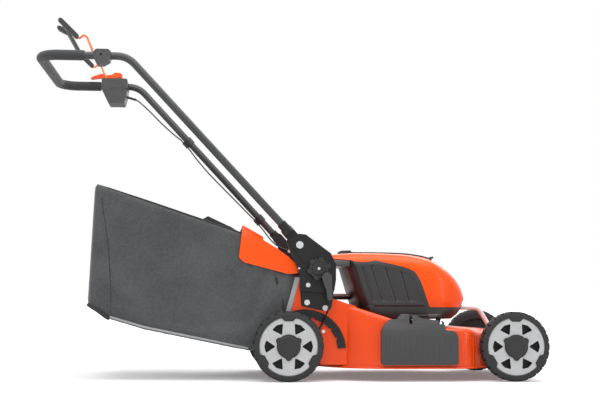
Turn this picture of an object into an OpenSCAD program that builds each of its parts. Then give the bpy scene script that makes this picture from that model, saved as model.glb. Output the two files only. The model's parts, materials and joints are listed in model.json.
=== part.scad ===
// Walk-behind rotary lawn mower with a battery motor, a rear grass bag and a folding handle.
// Local layout: x = 0 at the rear axle and x grows towards the front, y = 0 on the centre plane
// with the operator's right side at negative y, and z = 0 on the ground.

/* [Wheels] */
// Distance between the rear and the front wheel centres
wheelbase = 655; // [640:5:680]
// Width over the outer faces of the wheels
overall_w = 520; // [520:2:540]
// Diameter of a wheel over its tread
wheel_d = 200; // [190:2:210]
// Width of a wheel
wheel_w = 46; // [42:1:50]
// Radius of the silver hubcap
hubcap_r = 84; // [78:1:86]
// Number of tread blocks in each row of a tyre
tread_count = 24; // [18:1:30]
// Diameter of the wheel stubs
stub_d = 12; // [10:0.5:16]

/* [Height adjustment] */
// Distance from the crank pivot forward of the wheel centre
crank_x = 50; // [44:1:56]
// Distance from the crank pivot down from the wheel centre
crank_drop = 16; // [10:1:20]
// Diameter of the axle rods
axle_d = 14; // [12:1:18]
// Outer radius of the notched quadrant
quadrant_r = 120; // [118:1:124]
// Width of the quadrant's band
quadrant_band = 24; // [20:1:26]
// Angle between two neighbouring notches
notch_pitch = 18; // [16:0.5:18]

/* [Deck] */
// Outer width of the blade housing
chamber_w = 480; // [470:2:484]
// Height of the skirt's lower edge above the ground
skirt_z = 36; // [30:1:42]
// Height of the deck's flat top
deck_top = 152; // [146:1:156]
// Height of the ramp at the back of the deck
ramp_top = 236; // [228:1:240]
// Thickness of the deck's steel
deck_wall = 2.5; // [2:0.1:3.5]
// Half width of the nose between the front wheels
nose_half = 190; // [170:2:196]

/* [Blade] */
// Length of the blade
blade_len = 452; // [420:2:456]
// Width of the blade
blade_w = 52; // [40:1:60]
// Height of the blade above the ground
blade_z = 56; // [52:1:62]

/* [Handle] */
// Diameter of the handle tube
tube_d = 22; // [20:0.5:24]
// Distance between the two side tubes, centre to centre
handle_cc = 460; // [456:1:464]
// Length of each sloping side tube
slope_len = 680; // [640:5:720]
// Slope of the side tubes above the horizontal
slope_angle = 47; // [44:0.5:50]
// Length of the level part behind the bends
level_len = 251; // [240:1:262]
// Outside diameter of the foam grip
grip_d = 30; // [28:0.5:33]
// Diameter of the bail's wire
bail_d = 6.4; // [5:0.2:7]
// Diameter of the control cable
cable_d = 4.6; // [3.6:0.2:5.2]

/* [Hood] */
// Half width of the hood
hood_half = 150; // [140:1:156]
// Thickness of the hood's plastic
hood_wall = 3; // [2.4:0.1:3.6]

/* [Rear] */
// Half width of the discharge housing
housing_half = 197; // [192:1:197]
// Half width of the grass bag
bag_half = 193; // [180:1:194]
// Thickness of the rear flap
flap_wall = 2.5; // [2:0.1:3]

/* [Hidden] */
$fn = 48;

// Colours
orange = "#f2601f";
dark = "#3c3d3e";
black = "#1c1c1d";
silver = "#c9cacb";
zinc = "#b9bcbe";

// Gaps
run_gap = 0.05;     // radial gap of a running fit
seat_gap = 0.3;     // gap between parts that move past each other
eps = 0.01;

// Wheels and cranks
axle_z = wheel_d / 2;
pivot_z = axle_z - crank_drop;
wheel_in = overall_w / 2 - wheel_w;          // inner faces of the wheels
crank_out = wheel_in - 2;                    // outer faces of the crank plates
crank_t = 6;
crank_in = crank_out - crank_t;
plate_r = 14;                                // half width of a crank plate
stub_r = stub_d / 2;
axle_r = axle_d / 2;
lever_angle = 57.7;                          // direction of the lever's foot from the pivot
lever_reach = 90;                            // length of the lever's foot
lever_d = 5.5;
link_arm = 40;                               // length of the arms that carry the link
link_y = overall_w / 2 - 8;                  // the link's middle run, outside the skirt
link_d = 8;
link_pin_r = 4;

// Deck
chamber_x = wheelbase / 2 - 7.5;
chamber_r = chamber_w / 2;
// exponents of the deck's outline: round behind, squarer in front, most of all on the right
round_rear = 2.2;
square_right = 8;
square_left = 2.9;
nose_reach = wheelbase + crank_x + 22 - chamber_x;
lip = 6;
shoulder = 16;
motor_hole_r = 44;
deck_sides = 48;

// Discharge housing: its mouth leans back
mouth_lean = 0.27;
mouth_x0 = 11;
mouth_z0 = 200;
floor_z = 94.5;
roof_front = [125, ramp_top + 1.5];
roof_rear = [36, 303];
flap_axis = [32, 322];
flap_rod_r = 3;

// Handle brackets
bracket_in = wheel_in - 4.3;                 // inner face of the upper plate
bracket_t = 4;
bracket_out = bracket_in + bracket_t;
fold_axis = [33, 389];                       // the handle folds about this bolt
knob_axis = [87, 321];
plate_in = bracket_out + seat_gap;           // inner face of the handle's end plates
plate_t = 4;
plate_out = plate_in + plate_t;
knob_t = 20;
stud_r = 4;

// Handle
handle_y = handle_cc / 2;
tube_r = tube_d / 2;
tube_foot = [-4, 431];
knee = tube_foot + slope_len * [-cos(slope_angle), sin(slope_angle)];
handle_z = knee[1];
loop_x = knee[0] - level_len;
knee_bend = 70;
loop_bend = 55;
grip_r = grip_d / 2;
grip_front = knee[0] - 122;
box_x = knee[0] - 72;                        // middle of both handle housings
bail_y = handle_y - 31;
bail_axis = [box_x - 28, handle_z + 2];
bail_r = bail_d / 2;
box_z = [handle_z - 65, handle_z - 16, handle_z + 16];
box_y = [168, 250];
start_y = [208, 224];

// The origin lies under the middle of the whole mower
handle_reach = -loop_x + grip_r;
rear_x = (handle_reach - wheelbase - wheel_d / 2) / 2;

// ------------------------------------------------------------------ helpers

// Puts the mower's layout, which starts at the rear axle, on the row's origin
module place() { translate([rear_x, 0, 0]) children(); }

function unit(v) = v / norm(v);
function xz(p, y) = [p[0], y, p[1]];
function polar(c, r, a) = c + r * [cos(a), sin(a)];

// A plate drawn in the x-z plane, from y0 to y1
module plate(y0, y1) {
    translate([0, y1, 0]) rotate([90, 0, 0]) linear_extrude(y1 - y0) children();
}

// Plates on both sides of the mower, from y0 to y1 away from the centre plane
module both_plates(y0, y1) {
    plate(y0, y1) children();
    plate(-y1, -y0) children();
}

module both_sides() {
    children();
    mirror([0, 1, 0]) children();
}

// A convex outline whose corners are arcs of radius r about the given points,
// which run anticlockwise
module rounded(p, r) {
    n = len(p);
    function facing(i) = let (d = p[(i + 1) % n] - p[i % n]) atan2(-d[0], d[1]);
    polygon([for (i = [0:n - 1])
        let (a0 = facing(i + n - 1), turn = (facing(i) - a0 + 720) % 360, steps = ceil(turn / 15))
            for (k = [0:steps]) p[i] + r * [cos(a0 + turn * k / steps), sin(a0 + turn * k / steps)]]);
}

// The outline p with each corner turned into an arc of radius r
function soften(p, r) = let (n = len(p)) [for (i = [0:n - 1])
    let (b = p[i], u = unit(p[(i + n - 1) % n] - b), v = unit(p[(i + 1) % n] - b),
        half = acos(u * v) / 2, c = b + unit(u + v) * r / sin(half),
        a0 = atan2((b + u * r / tan(half) - c)[1], (b + u * r / tan(half) - c)[0]),
        turn = (180 - 2 * half) * sign(u[1] * v[0] - u[0] * v[1]))
    for (k = [0:arc_steps]) c + r * [cos(a0 + turn * k / arc_steps), sin(a0 + turn * k / arc_steps)]];
arc_steps = 5;

// A straight rod from a to b
module rod(a, b, r) {
    d = b - a;
    translate(a) rotate([0, acos(d[2] / norm(d)), atan2(d[1], d[0])]) cylinder(h = norm(d), r = r);
}

// A cylinder across the mower, from y0 to y1, about the point c of the x-z plane
module cross_rod(c, y0, y1, r) {
    translate([c[0], y1, c[1]]) rotate([90, 0, 0]) cylinder(h = y1 - y0, r = r);
}

// Skin over a stack of closed rings with equal counts of points, capped at both ends
module skin(rings) {
    n = len(rings[0]);
    m = len(rings);
    polyhedron(
        points = [for (r = rings) each r],
        faces = concat(
            [[for (i = [0:n - 1]) i]],
            [for (j = [0:m - 2], i = [0:n - 1])
                let (a = j * n + i, b = j * n + (i + 1) % n) each [[a, a + n, b], [b, a + n, b + n]]],
            [[for (i = [n - 1:-1:0]) (m - 1) * n + i]]));
}

// The path p with each inner point turned into an arc of the radius in bends
function eased(p, bends) = let (n = len(p)) [for (i = [0:n - 1]) each
    (i == 0 || i == n - 1 ? [p[i]] :
        let (u = unit(p[i] - p[i - 1]), v = unit(p[i + 1] - p[i]), turn = acos(u * v),
            w = unit(v - u * (u * v)), c = p[i] - u * bends[i] * tan(turn / 2) + w * bends[i],
            steps = turn > 60 ? 6 : turn > 25 ? 4 : 3)
        [for (k = [0:steps]) c + bends[i] * (sin(turn * k / steps) * u - cos(turn * k / steps) * w)])];

// A cord of radius r swept through the points p, with k sides
module cord(p, r, k) {
    n = len(p);
    function dir(i) = unit(p[min(i + 1, n - 1)] - p[max(i - 1, 0)]);
    skin([for (i = [0:n - 1])
        let (d = dir(i), a = unit(cross(d, [0, 1, 0.1])), b = cross(d, a))
            [for (s = [0:k - 1]) p[i] + r * (cos(s * 360 / k) * a + sin(s * 360 / k) * b)]]);
}

// ------------------------------------------------------------------ deck

// Distance from the blade's axis to the deck's outline in the direction a
function chamber_reach(a, r) =
    let (n = cos(a) < 0 ? round_rear : sin(a) < 0 ? square_right : square_left)
        r / pow(pow(abs(cos(a)), n) + pow(abs(sin(a)), n), 1 / n);
function nose_edge(a, inset) = cos(a) <= 0.01 ? 0 :
    pow(pow(cos(a) / (nose_reach - inset), 8) + pow(abs(sin(a)) / (nose_half - inset), 8), -1 / 8);
function deck_edge(a, inset) =
    pow(pow(chamber_reach(a, chamber_r - inset), 14) + pow(nose_edge(a, inset), 14), 1 / 14);

// Height of the deck's top at the point p, given from the blade's axis: it climbs to the back
// right, where the clippings leave
function ease(t) = let (s = min(1, max(0, t))) s * s * (3 - 2 * s);
ramp_start = 60;
ramp_end = -200;
function top_at(p) = deck_top
    + (ramp_top - deck_top) * max(0, min(1, (ramp_start - p[0]) / (ramp_start - ramp_end)))
        * ease((190 - p[1]) / 110)
    - 14 * ease((p[0] - 200) / 60);

function deck_ring(inset, drop, level) = [for (i = [0:deck_sides - 1])
    let (a = i * 360 / deck_sides, d = deck_edge(a, inset), p = d * [cos(a), sin(a)])
        [chamber_x + p[0], p[1], level == undef ? top_at(p) - drop : level]];

function plateau_ring(r, z) = [for (i = [0:deck_sides - 1])
    let (a = i * 360 / deck_sides) [chamber_x + r * cos(a), r * sin(a), z]];

plateau_z = deck_top + 12;

// The solid inside the deck's outer surface; t is how far the surface is pulled in
module deck_body(t) {
    skin([
        deck_ring(t, 0, skirt_z - (t > 0 ? 20 : 0)),
        deck_ring(t + 2, shoulder + t, undef),
        deck_ring(t + 2 + shoulder * 0.3, shoulder * 0.3 + t, undef),
        deck_ring(t + 2 + shoulder, t, undef),
        plateau_ring(135, plateau_z - 6 - t),
        plateau_ring(95, plateau_z - t)]);
}

// The rolled lip round the skirt's lower edge
module deck_lip() {
    skin([deck_ring(-lip + 3, 0, skirt_z), deck_ring(-lip, 0, skirt_z + 2),
        deck_ring(-lip, 0, skirt_z + 4.5), deck_ring(-lip + 2, 0, skirt_z + 6.5), deck_ring(1, 0, skirt_z + 8)]);
}

// Side opening for the clippings
discharge_x = [290, 460];
discharge_z = [60, 140];

module tunnel_outline(t) {
    polygon([
        [mouth_x0 + mouth_lean * (floor_z - mouth_z0) - (t > 0 ? 20 : 0), floor_z + t],
        [mouth_x0 + mouth_lean * (roof_rear[1] - mouth_z0) - (t > 0 ? 20 : 0), roof_rear[1] - t],
        [roof_rear[0] + t * 0.6, roof_rear[1] - t],
        roof_front - [0, t],
        [roof_front[0] + 75, roof_front[1] - 24 - t],
        [roof_front[0] + 75, floor_z + t]]);
}

module deck_shell() {
    place() color(orange) difference() {
        union() {
            deck_body(0);
            deck_lip();
        }
        deck_body(deck_wall);
        translate([chamber_x, 0, 0]) cylinder(h = 300, r = motor_hole_r);
        plate(-housing_half + deck_wall, housing_half - deck_wall) polygon([[-60, floor_z + deck_wall],
            [roof_front[0] + 75, floor_z + deck_wall], [roof_front[0] + 75, ramp_top - 42],
            [roof_front[0], ramp_top - 16], [-60, ramp_top - 16]]);
        cross_rod([wheelbase + crank_x, pivot_z], -nose_half - 5, nose_half + 5, axle_r + 1.5);
        translate([discharge_x[0], -chamber_r - 20, discharge_z[0]])
            cube([discharge_x[1] - discharge_x[0], 60, discharge_z[1] - discharge_z[0]]);
    }
}

module rear_housing() {
    place() color(orange) difference() {
        union() {
            difference() {
                plate(-housing_half, housing_half) tunnel_outline(0);
                plate(-housing_half + deck_wall, housing_half - deck_wall) tunnel_outline(deck_wall);
            }
            both_plates(housing_half - deck_wall, housing_half) polygon(soften([[66, floor_z + 1], [78, 62],
                [100, skirt_z + 9.5], [200, skirt_z + 9.5], [200, floor_z + 1]], 8));
        }
        deck_body(0);
        for (b = bracket_bolts) cross_rod(b, -housing_half - 1, housing_half + 1, bolt_r);
        cross_rod(rivet_at, -housing_half - 1, housing_half + 1, rivet_r);
    }
}

// Bolts through the brackets into the housing, on both sides
bolt_r = 4;
rivet_r = 3;
bracket_bolts = [[56, 224], [109, 208]];
rivet_at = [58, 274];

// A dark plate on each side: the lower part is bolted to the housing, a web steps outward, and the
// upper part carries the fold bolt, the knob's stud and the flap's rod
module bracket() {
    step = [34, 258];
    color(dark) difference() {
        union() {
            plate(-housing_half - 4.2, -housing_half - 0.2)
                polygon(soften([[40, 214], [86, 204], [112, 200], [126, 207], [131, 234], [134, 262], [36, 262]], 3));
            plate(-bracket_out, -housing_half - 0.2)
                polygon(soften([step, step + [98, -6], step + [100, 6], step + [2, 8]], 2));
            plate(-bracket_out, -bracket_in)
                polygon(soften([step, [134, 256], [139, 289], [139, 334], [124, 366], [51, 420],
                    [30, 422], [-6, 402], [3, 376], [20, 340], [33, 306]], 5));
            plate(-bracket_out - 2, -bracket_out)
                polygon(soften([[129, 262], [134, 262], [139, 289], [139, 334], [124, 366], [106, 379],
                    [102, 375], [119, 362], [133, 332], [133, 290]], 1.5));
        }
        cross_rod(fold_axis, -bracket_out - 1, -bracket_in + 1, stud_r + 1);
        cross_rod(knob_axis, -bracket_out - 1, -bracket_in + 1, stud_r);
        cross_rod(flap_axis, -bracket_out - 1, -bracket_in + 1, flap_rod_r);
        for (b = bracket_bolts) cross_rod(b, -bracket_out - 1, -housing_half + 1, bolt_r);
        cross_rod(rivet_at, -bracket_out - 1, -bracket_in + 1, rivet_r);
    }
}
module bracket_right() { place() bracket(); }
module bracket_left() { place() mirror([0, 1, 0]) bracket(); }

// Notched arc on the right side that holds the height lever; the notches open inward
pivot_rear = [crank_x, pivot_z];
pivot_front = [wheelbase + crank_x, pivot_z];
quadrant_in = quadrant_r - quadrant_band;
notch_r = 5;
detent_r = 3;
quadrant_y = [-housing_half - 4.2, -housing_half - 0.2];
module height_quadrant() {
    place() color(black) plate(quadrant_y[0], quadrant_y[1]) difference() {
        translate(pivot_rear) circle(quadrant_r);
        translate(pivot_rear) circle(quadrant_in);
        polygon([pivot_rear, pivot_rear + [400, 34], pivot_rear + [400, -400], pivot_rear - [400, 400],
            pivot_rear + [-400, 0], pivot_rear + [-400, 400], pivot_rear + [-120, 400]]);
        for (k = [-2:2]) translate(polar(pivot_rear, quadrant_in, lever_angle + k * notch_pitch)) circle(notch_r);
    }
}

// Plates under the deck that carry the two axle rods
module axle_brackets() {
    place() color(black) {
        both_plates(housing_half - 12, housing_half - 6) difference() {
            polygon(soften([[crank_x - 22, floor_z - 0.2], [crank_x - 14, pivot_z - 14],
                [crank_x + 14, pivot_z - 14], [crank_x + 22, floor_z - 0.2]], 4));
            translate(pivot_rear) circle(axle_r + run_gap);
        }
        both_plates(120, 126) difference() {
            polygon(soften([[pivot_front[0] - 50, deck_top - 17.2], [pivot_front[0] - 16, pivot_z - 14],
                [pivot_front[0] + 9, pivot_z - 14], [pivot_front[0] + 8, 106], [pivot_front[0] - 16, deck_top - 17.2]], 3));
            translate(pivot_front) circle(axle_r + run_gap);
        }
    }
}

// Bolts and rivets of the brackets, the quadrant and the side cover's hinge
module bolt_head(c, y, r, t) {
    cross_rod(c, -y - t, -y, r);
}
module deck_bolts() {
    place() color(zinc) {
        both_sides() {
            for (b = bracket_bolts) {
                bolt_head(b, housing_half + 4.2, 8, 5);
                cross_rod(b, -housing_half - 4.2, -housing_half + deck_wall, bolt_r);
            }
            bolt_head(rivet_at, bracket_out, 6.5, 2.5);
            cross_rod(rivet_at, -bracket_out, -bracket_in, rivet_r);
        }
        bolt_head([104, 141], housing_half, 5, 4);
    }
}

// ------------------------------------------------------------------ axles and height adjustment

// A flat bar with round ends from a to b in the x-z plane
module bar(a, b, r) { rounded([a, b], r); }

// Rod across the mower with a crank plate and a wheel stub at each end
module axle(pivot) {
    hub = pivot + [-crank_x, crank_drop];
    difference() {
        union() {
            cross_rod(pivot, -crank_in, crank_in, axle_r);
            both_plates(crank_in, crank_out) bar(pivot, hub, plate_r);
            both_sides() cross_rod(hub, -overall_w / 2 + 6, -crank_out, stub_r);
        }
    }
    plate(crank_in, crank_out) bar(pivot, pivot + [0, link_arm], 8);
    cross_rod(pivot + [0, link_arm], crank_in - 8, crank_in, link_pin_r);
}

lever_foot = polar(pivot_rear, quadrant_in - 4, lever_angle);
lever_y = -(crank_in + crank_t / 2);
lever_path = [xz(polar(pivot_rear, plate_r, lever_angle), lever_y), xz(lever_foot, lever_y),
    [113, -246, 204], [118, -251, 228], [111, -251, 290]];
grip_y = [-258.5, -243.5];

module rear_axle() { place() color(black) axle(pivot_rear); }
module front_axle() { place() color(black) axle(pivot_front); }

module height_lever() {
    place() color(black) {
        cord(eased(lever_path, [0, 6, 6, 6, 0]), lever_d / 2, 14);
        rod(xz(lever_foot, lever_y), xz(lever_foot, quadrant_y[0] + 2), detent_r);
    }
}

module lever_grip() {
    place() color(dark) difference() {
        plate(grip_y[0], grip_y[1]) polygon(soften([[111, 230], [124, 232], [122, 300], [113, 310],
            [103, 309], [94, 298], [97, 285], [107, 257]], 4));
        cord(eased(lever_path, [0, 6, 6, 6, 0]), lever_d / 2, 14);
    }
}

// Rod that makes the front axle turn with the rear one; it passes outside the skirt on the left
link_z = pivot_z + link_arm;
link_in = crank_in - 4.5;
module height_link() {
    path = [[crank_x + 8, link_in, link_z], [crank_x + 84, link_in, link_z],
        [chamber_x - 100, link_y, link_z], [chamber_x + 92, link_y, link_z],
        [chamber_x + 240, link_in, link_z], [pivot_front[0] - 8, link_in, link_z]];
    place() color(black) difference() {
        union() {
            cord(eased(path, [0, 30, 30, 30, 30, 0]), link_d / 2, 16);
            for (x = [crank_x, pivot_front[0]]) cross_rod([x, link_z], link_in - 3, link_in + 3, 10);
        }
        cross_rod([crank_x, link_z], link_in - 5, link_in + 5, link_pin_r + run_gap);
        cross_rod([pivot_front[0], link_z], link_in - 5, link_in + 5, link_pin_r + 1);
    }
}

// ------------------------------------------------------------------ wheels

// In a wheel's own layout its axis is z and its outer face points up
wheel_y = overall_w / 2 - wheel_w / 2;
module at_wheel(x, left) {
    place() mirror([0, left, 0]) translate([x, -wheel_y, axle_z]) rotate([90, 0, 0]) children();
}

half_w = wheel_w / 2;
window_step = 60;
lobe_turn = [90, 210, 330];

// Tread blocks of one row, turned by a, between the heights z0 and z1
module tread_row(z0, z1, a) {
    translate([0, 0, z0]) linear_extrude(z1 - z0) difference() {
        circle(wheel_d / 2);
        circle(wheel_d / 2 - 6);
        for (i = [0:tread_count - 1]) rotate(a + i * 360 / tread_count)
            translate([wheel_d / 2 - 4, -2.4]) square([8, 4.8]);
    }
}

// Black wheel: hub with the bore, web, and rubber ring with its tread
module tyre() {
    r = wheel_d / 2;
    color(black) difference() {
        union() {
            intersection() {
                rotate_extrude() polygon([[hubcap_r - 12, -half_w + 2], [r - 12, -half_w + 1], [r - 3, -half_w + 3],
                    [r, -half_w + 9], [r, half_w - 9], [r - 3, half_w - 3], [r - 12, half_w - 1],
                    [hubcap_r - 12, half_w - 1]]);
                union() {
                    translate([0, 0, -half_w]) cylinder(h = wheel_w, r = r - 4);
                    tread_row(-half_w, 1, 0);
                    tread_row(-1, half_w, 180 / tread_count);
                }
            }
            translate([0, 0, -6]) cylinder(h = 8, r = hubcap_r - 10);
            translate([0, 0, -half_w + 0.3]) cylinder(h = wheel_w - 8, r = 19);
        }
        translate([0, 0, -half_w]) cylinder(h = wheel_w, r = stub_r + run_gap);
        difference() {
            translate([0, 0, 5]) cylinder(h = half_w, r = hubcap_r);
            translate([0, 0, 4]) cylinder(h = half_w, r = 19.5);
            for (a = lobe_turn) rotate(a) hubcap_notch(half_w, -0.3);
        }
    }
}

// Notch in the hubcap's rim that a lug of the tyre fills; grow widens it
module hubcap_notch(h, grow) {
    d = hubcap_r;
    linear_extrude(h) polygon(soften([[d + 8, -26 - grow], [d + 8, 26 + grow], [d - 1, 24 + grow],
        [d - 13 - grow, 12], [d - 13 - grow, -12], [d - 1, -24 - grow]], 3));
}

// Silver cover with six windows and three notches
module hubcap() {
    window_in = 37;
    window_out = 69;
    color(silver) difference() {
        rotate_extrude() polygon([[20, 14.5], [36, 14.5], [60, 16.5], [hubcap_r - 6, 15.5], [hubcap_r - 3, 6],
            [hubcap_r - 0.3, 6], [hubcap_r - 0.3, half_w - 5], [hubcap_r - 3, half_w - 3.4],
            [60, half_w - 3], [41, half_w - 4.6], [20, half_w - 4.6]]);
        for (a = [0:window_step:359]) rotate(a) linear_extrude(half_w)
            polygon(soften([[window_in, 0], [window_out - 5, -18], [window_out, 0], [window_out - 5, 18]], 2.5));
        for (a = lobe_turn) rotate(a) hubcap_notch(half_w, 0);
    }
}

// Dark cap over the hub, with three lobes
module centre_cap() {
    disc = 34;
    function reach(a) = let (s = 31 * sin(a))
        abs(s) < 9.4 && cos(a) > 0 ? max(disc, 31 * cos(a) + sqrt(9.5 * 9.5 - s * s)) : disc;
    color(dark) {
        translate([0, 0, half_w - 4.4]) linear_extrude(2.9) polygon([for (a = [0:4:359])
            let (b = min([for (c = lobe_turn) abs((a - c - 60 + 540) % 360 - 180)])) reach(b) * [cos(a), sin(a)]]);
        rotate_extrude() polygon([[stub_r + 2, half_w - 7.6], [19.5, half_w - 7.6], [19.5, half_w - 3.5],
            [31, half_w - 2.5], [30.5, half_w - 1], [27, half_w], [0, half_w], [0, half_w - 3.6], [stub_r + 2, half_w - 3.6]]);
    }
}

module tyre_rear_right() { at_wheel(0, 0) tyre(); }
module hubcap_rear_right() { at_wheel(0, 0) hubcap(); }
module centre_cap_rear_right() { at_wheel(0, 0) centre_cap(); }
module tyre_rear_left() { at_wheel(0, 1) tyre(); }
module hubcap_rear_left() { at_wheel(0, 1) hubcap(); }
module centre_cap_rear_left() { at_wheel(0, 1) centre_cap(); }
module tyre_front_right() { at_wheel(wheelbase, 0) tyre(); }
module hubcap_front_right() { at_wheel(wheelbase, 0) hubcap(); }
module centre_cap_front_right() { at_wheel(wheelbase, 0) centre_cap(); }
module tyre_front_left() { at_wheel(wheelbase, 1) tyre(); }
module hubcap_front_left() { at_wheel(wheelbase, 1) hubcap(); }
module centre_cap_front_left() { at_wheel(wheelbase, 1) centre_cap(); }

// ------------------------------------------------------------------ motor and blade

motor_r = 68;
shaft_r = 8;
motor_top = plateau_z + 72;
module at_motor() { place() translate([chamber_x, 0, 0]) children(); }

module motor_housing() {
    at_motor() color(dark) rotate_extrude() polygon([[shaft_r + run_gap, plateau_z - 8], [26, plateau_z - 8],
        [26, plateau_z], [88, plateau_z], [88, plateau_z + 5], [motor_r, plateau_z + 8],
        [motor_r, motor_top - 6], [motor_r - 6, motor_top], [0, motor_top], [0, motor_top - 6],
        [motor_r - 8, motor_top - 6], [motor_r - 8, plateau_z + 8], [shaft_r + run_gap, plateau_z + 8]]);
}

module motor_shaft() {
    at_motor() color(zinc) {
        translate([0, 0, blade_z + 4]) cylinder(h = motor_top - blade_z - 13, r = shaft_r);
        difference() {
            translate([0, 0, plateau_z + 12]) cylinder(h = motor_top - plateau_z - 24, r = motor_r - 12);
            translate([0, 0, plateau_z + 11]) cylinder(h = motor_top - plateau_z, r = shaft_r);
        }
    }
}

module blade_adapter() {
    at_motor() color("#55575a") difference() {
        rotate_extrude() polygon([[shaft_r, blade_z + 4], [24, blade_z + 4], [24, blade_z + 10], [17, blade_z + 14],
            [15, blade_z + 34], [shaft_r, blade_z + 34]]);
    }
}

// Flat bar with sharpened leading edges and raised trailing wings
module blade() {
    t = 4;
    half = blade_len / 2;
    at_motor() color("#6a6c6f") translate([0, 0, blade_z]) difference() {
        union() {
            linear_extrude(t) rounded([[-half + blade_w / 2, 0], [half - blade_w / 2, 0]], blade_w / 2);
            for (a = [0, 180]) rotate(a) translate([half - 72, 0, 0]) rotate([90, 0, 90])
                linear_extrude(52) polygon([[10, t - 1], [blade_w / 2 - 3, 12], [blade_w / 2 - 5, 15], [6, t]]);
        }
        for (a = [0, 180]) rotate(a) translate([half - 80, -blade_w / 2, t]) rotate([30, 0, 0])
            translate([0, -6, -2]) cube([90, 14, 12]);
        translate([0, 0, -1]) cylinder(h = t + 2, r = 5);
    }
}

module blade_bolt() {
    at_motor() color(zinc) {
        translate([0, 0, blade_z - 9]) cylinder(h = 6.5, r = 8.5, $fn = 6);
        translate([0, 0, blade_z - 2.5]) cylinder(h = 2.5, r = 14);
        translate([0, 0, blade_z]) cylinder(h = 4, r = 5);
    }
}

// ------------------------------------------------------------------ hood

hood_front = 177;                            // reach of the rounded front from hood_bend
hood_bend = 380;
hood_rear = 106;
base_low = 176;

// Crown line of the hood, from its rear to the tip of its nose
crown = [[0, 362], [106, 366], [158, 370.5], [209, 373.6], [250, 374], [301, 374], [350, 373.6], [380, 372],
    [410, 368.8], [436, 364.5], [455, 356.5], [475, 345.5], [495, 331.5], [513, 316], [528, 298], [541, 278],
    [550, 262], [557, 247], [560, 240]];
function hood_top_at(x) = lookup(x, crown);
// How much lower the roof is at its shoulders than on the crown line
camber = [[106, 2], [209, 2.5], [301, 4], [380, 8], [436, 14], [475, 18], [560, 18]];
function hood_half_at(x, t) = let (s = max(0, x - hood_bend) / (hood_front - t))
    (hood_half - t) * pow(max(0, 1 - pow(s, 2.6)), 1 / 2.6);

// The nose is undercut below its tip: reach of the front at the height z
chin = [[100, 470], [base_low, 503 + 12], [196, 541], [232, 553.5], [247, 557], [262, 600], [420, 640]];
module hood_chin(t) {
    skin([for (c = chin) let (reach = c[1] - hood_bend - t, half = hood_half + 6 - t)
        [for (p = concat([[40, -half]], [for (a = [-90:15:90])
            [hood_bend + reach * pow(abs(cos(a)), 2 / 2.6), half * sign(a) * pow(abs(sin(a)), 2 / 2.6)]], [[40, half]]))
            [p[0], p[1], c[0]]]]);
}

// Cross-section of the hood at x, pulled in by t; the sides lean in slightly
function hood_ring(x, t) = let (w = hood_half_at(x, t), z = hood_top_at(x) - t,
        low = 140, c = min(44, w * 0.6 + 0.5), h = min(40, (z - low) * 0.45),
        k = lookup(x, camber) * min(1, w / hood_half), flat = w - c - 2)
    concat(
        [[x, w, low]],
        [for (a = [0:22.5:90]) [x, flat + c * cos(a), z - h - k + h * sin(a)]],
        [[x, flat / 2, z - k / 4], [x, 0, z], [x, -flat / 2, z - k / 4]],
        [for (a = [90:-22.5:0]) [x, -flat - c * cos(a), z - h - k + h * sin(a)]],
        [[x, -w, low]]);

rear_stations = [158, 209, 250, 301, 350, hood_bend];
front_stations = [0.17, 0.316, 0.45, 0.56, 0.66, 0.75, 0.835, 0.905, 0.955, 0.985, 0.997];
module hood_form(t) {
    reach = hood_front - max(t, 0);
    intersection() {
        skin([for (x = concat([hood_rear + (t > 0 ? -20 : 0)], rear_stations,
            [for (s = front_stations) hood_bend + s * reach])) hood_ring(x, t)]);
        hood_chin(max(t, 0));
    }
}

// The same body without its nose, for what lies behind it
module hood_flank(t) {
    reach = hood_front - max(t, 0);
    skin([for (x = concat([hood_rear + (t > 0 ? -20 : 0)], rear_stations,
        [for (i = [0:3]) hood_bend + front_stations[i] * reach])) hood_ring(x, t)]);
}

// Lower edge of the orange shell, from the rear along the side and down to its front end
band = [[60, 356], [150, 352], [188, 349], [206, 345], [233, 343.5], [248, 345.5], [264, 348.5], [291, 342.5],
    [338, 332], [366, 323.5], [381, 316], [391, 303], [400, 286], [412, 253], [426, 211]];
// Outline of the recessed vents inside their raised border
vent_field = [[222, 331], [246, 332.5], [261, 336], [291, 328.5], [338, 317], [368, 306], [383, 291], [393, 263],
    [405, 225], [256, 225]];
vent_foot = 217;
lid_x = [176, 452];
lid_half = 76;
lid_axis = [453, hood_top_at(453) + 4];
lid_pin = 1.6;

// The dark body under the orange shell has a back wall that leans forward to its foot, with round corners
tail_r = 42;
module hood_tail(t) {
    half = hood_half + 3 - t;
    skin([for (z = [100, 420]) let (back = 216 - 0.3 * (z - 224) + t)
        concat([[700, half, z]],
            [for (a = [90:15:180]) [back + tail_r + tail_r * cos(a), half - tail_r + tail_r * sin(a), z]],
            [for (a = [180:15:270]) [back + tail_r + tail_r * cos(a), tail_r - half + tail_r * sin(a), z]],
            [[700, -half, z]])]);
}

module hood_body(t) {
    intersection() {
        hood_form(t);
        hood_tail(t);
    }
}

module hood_shell(t) {
    difference() {
        hood_form(t);
        hood_form(t + hood_wall);
    }
}

module hood_top() {
    place() color(orange) {
        difference() {
            intersection() {
                hood_shell(0);
                plate(-200, 200) polygon(concat(band, [[537, 211], [556, 247], [620, 247], [620, 420], [60, 420]]));
            }
            translate([lid_x[0] + 8, -lid_half + 8, 300]) cube([lid_x[1] - lid_x[0] - 26, 2 * lid_half - 16, 100]);
            rod(carry_path[0] - [2, 0, 0], carry_path[1], carry_r);
        }
        both_sides() difference() {
            union() {
                plate(61, 66) polygon([lid_axis + [-3.4, 0], lid_axis + [-3.4, -9], lid_axis + [4, -12], lid_axis + [3.4, 0]]);
                cross_rod(lid_axis, 61, 66, 3.4);
                cross_rod(lid_axis, 52, 61, lid_pin);
            }
            hood_form(0);
        }
    }
}

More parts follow.
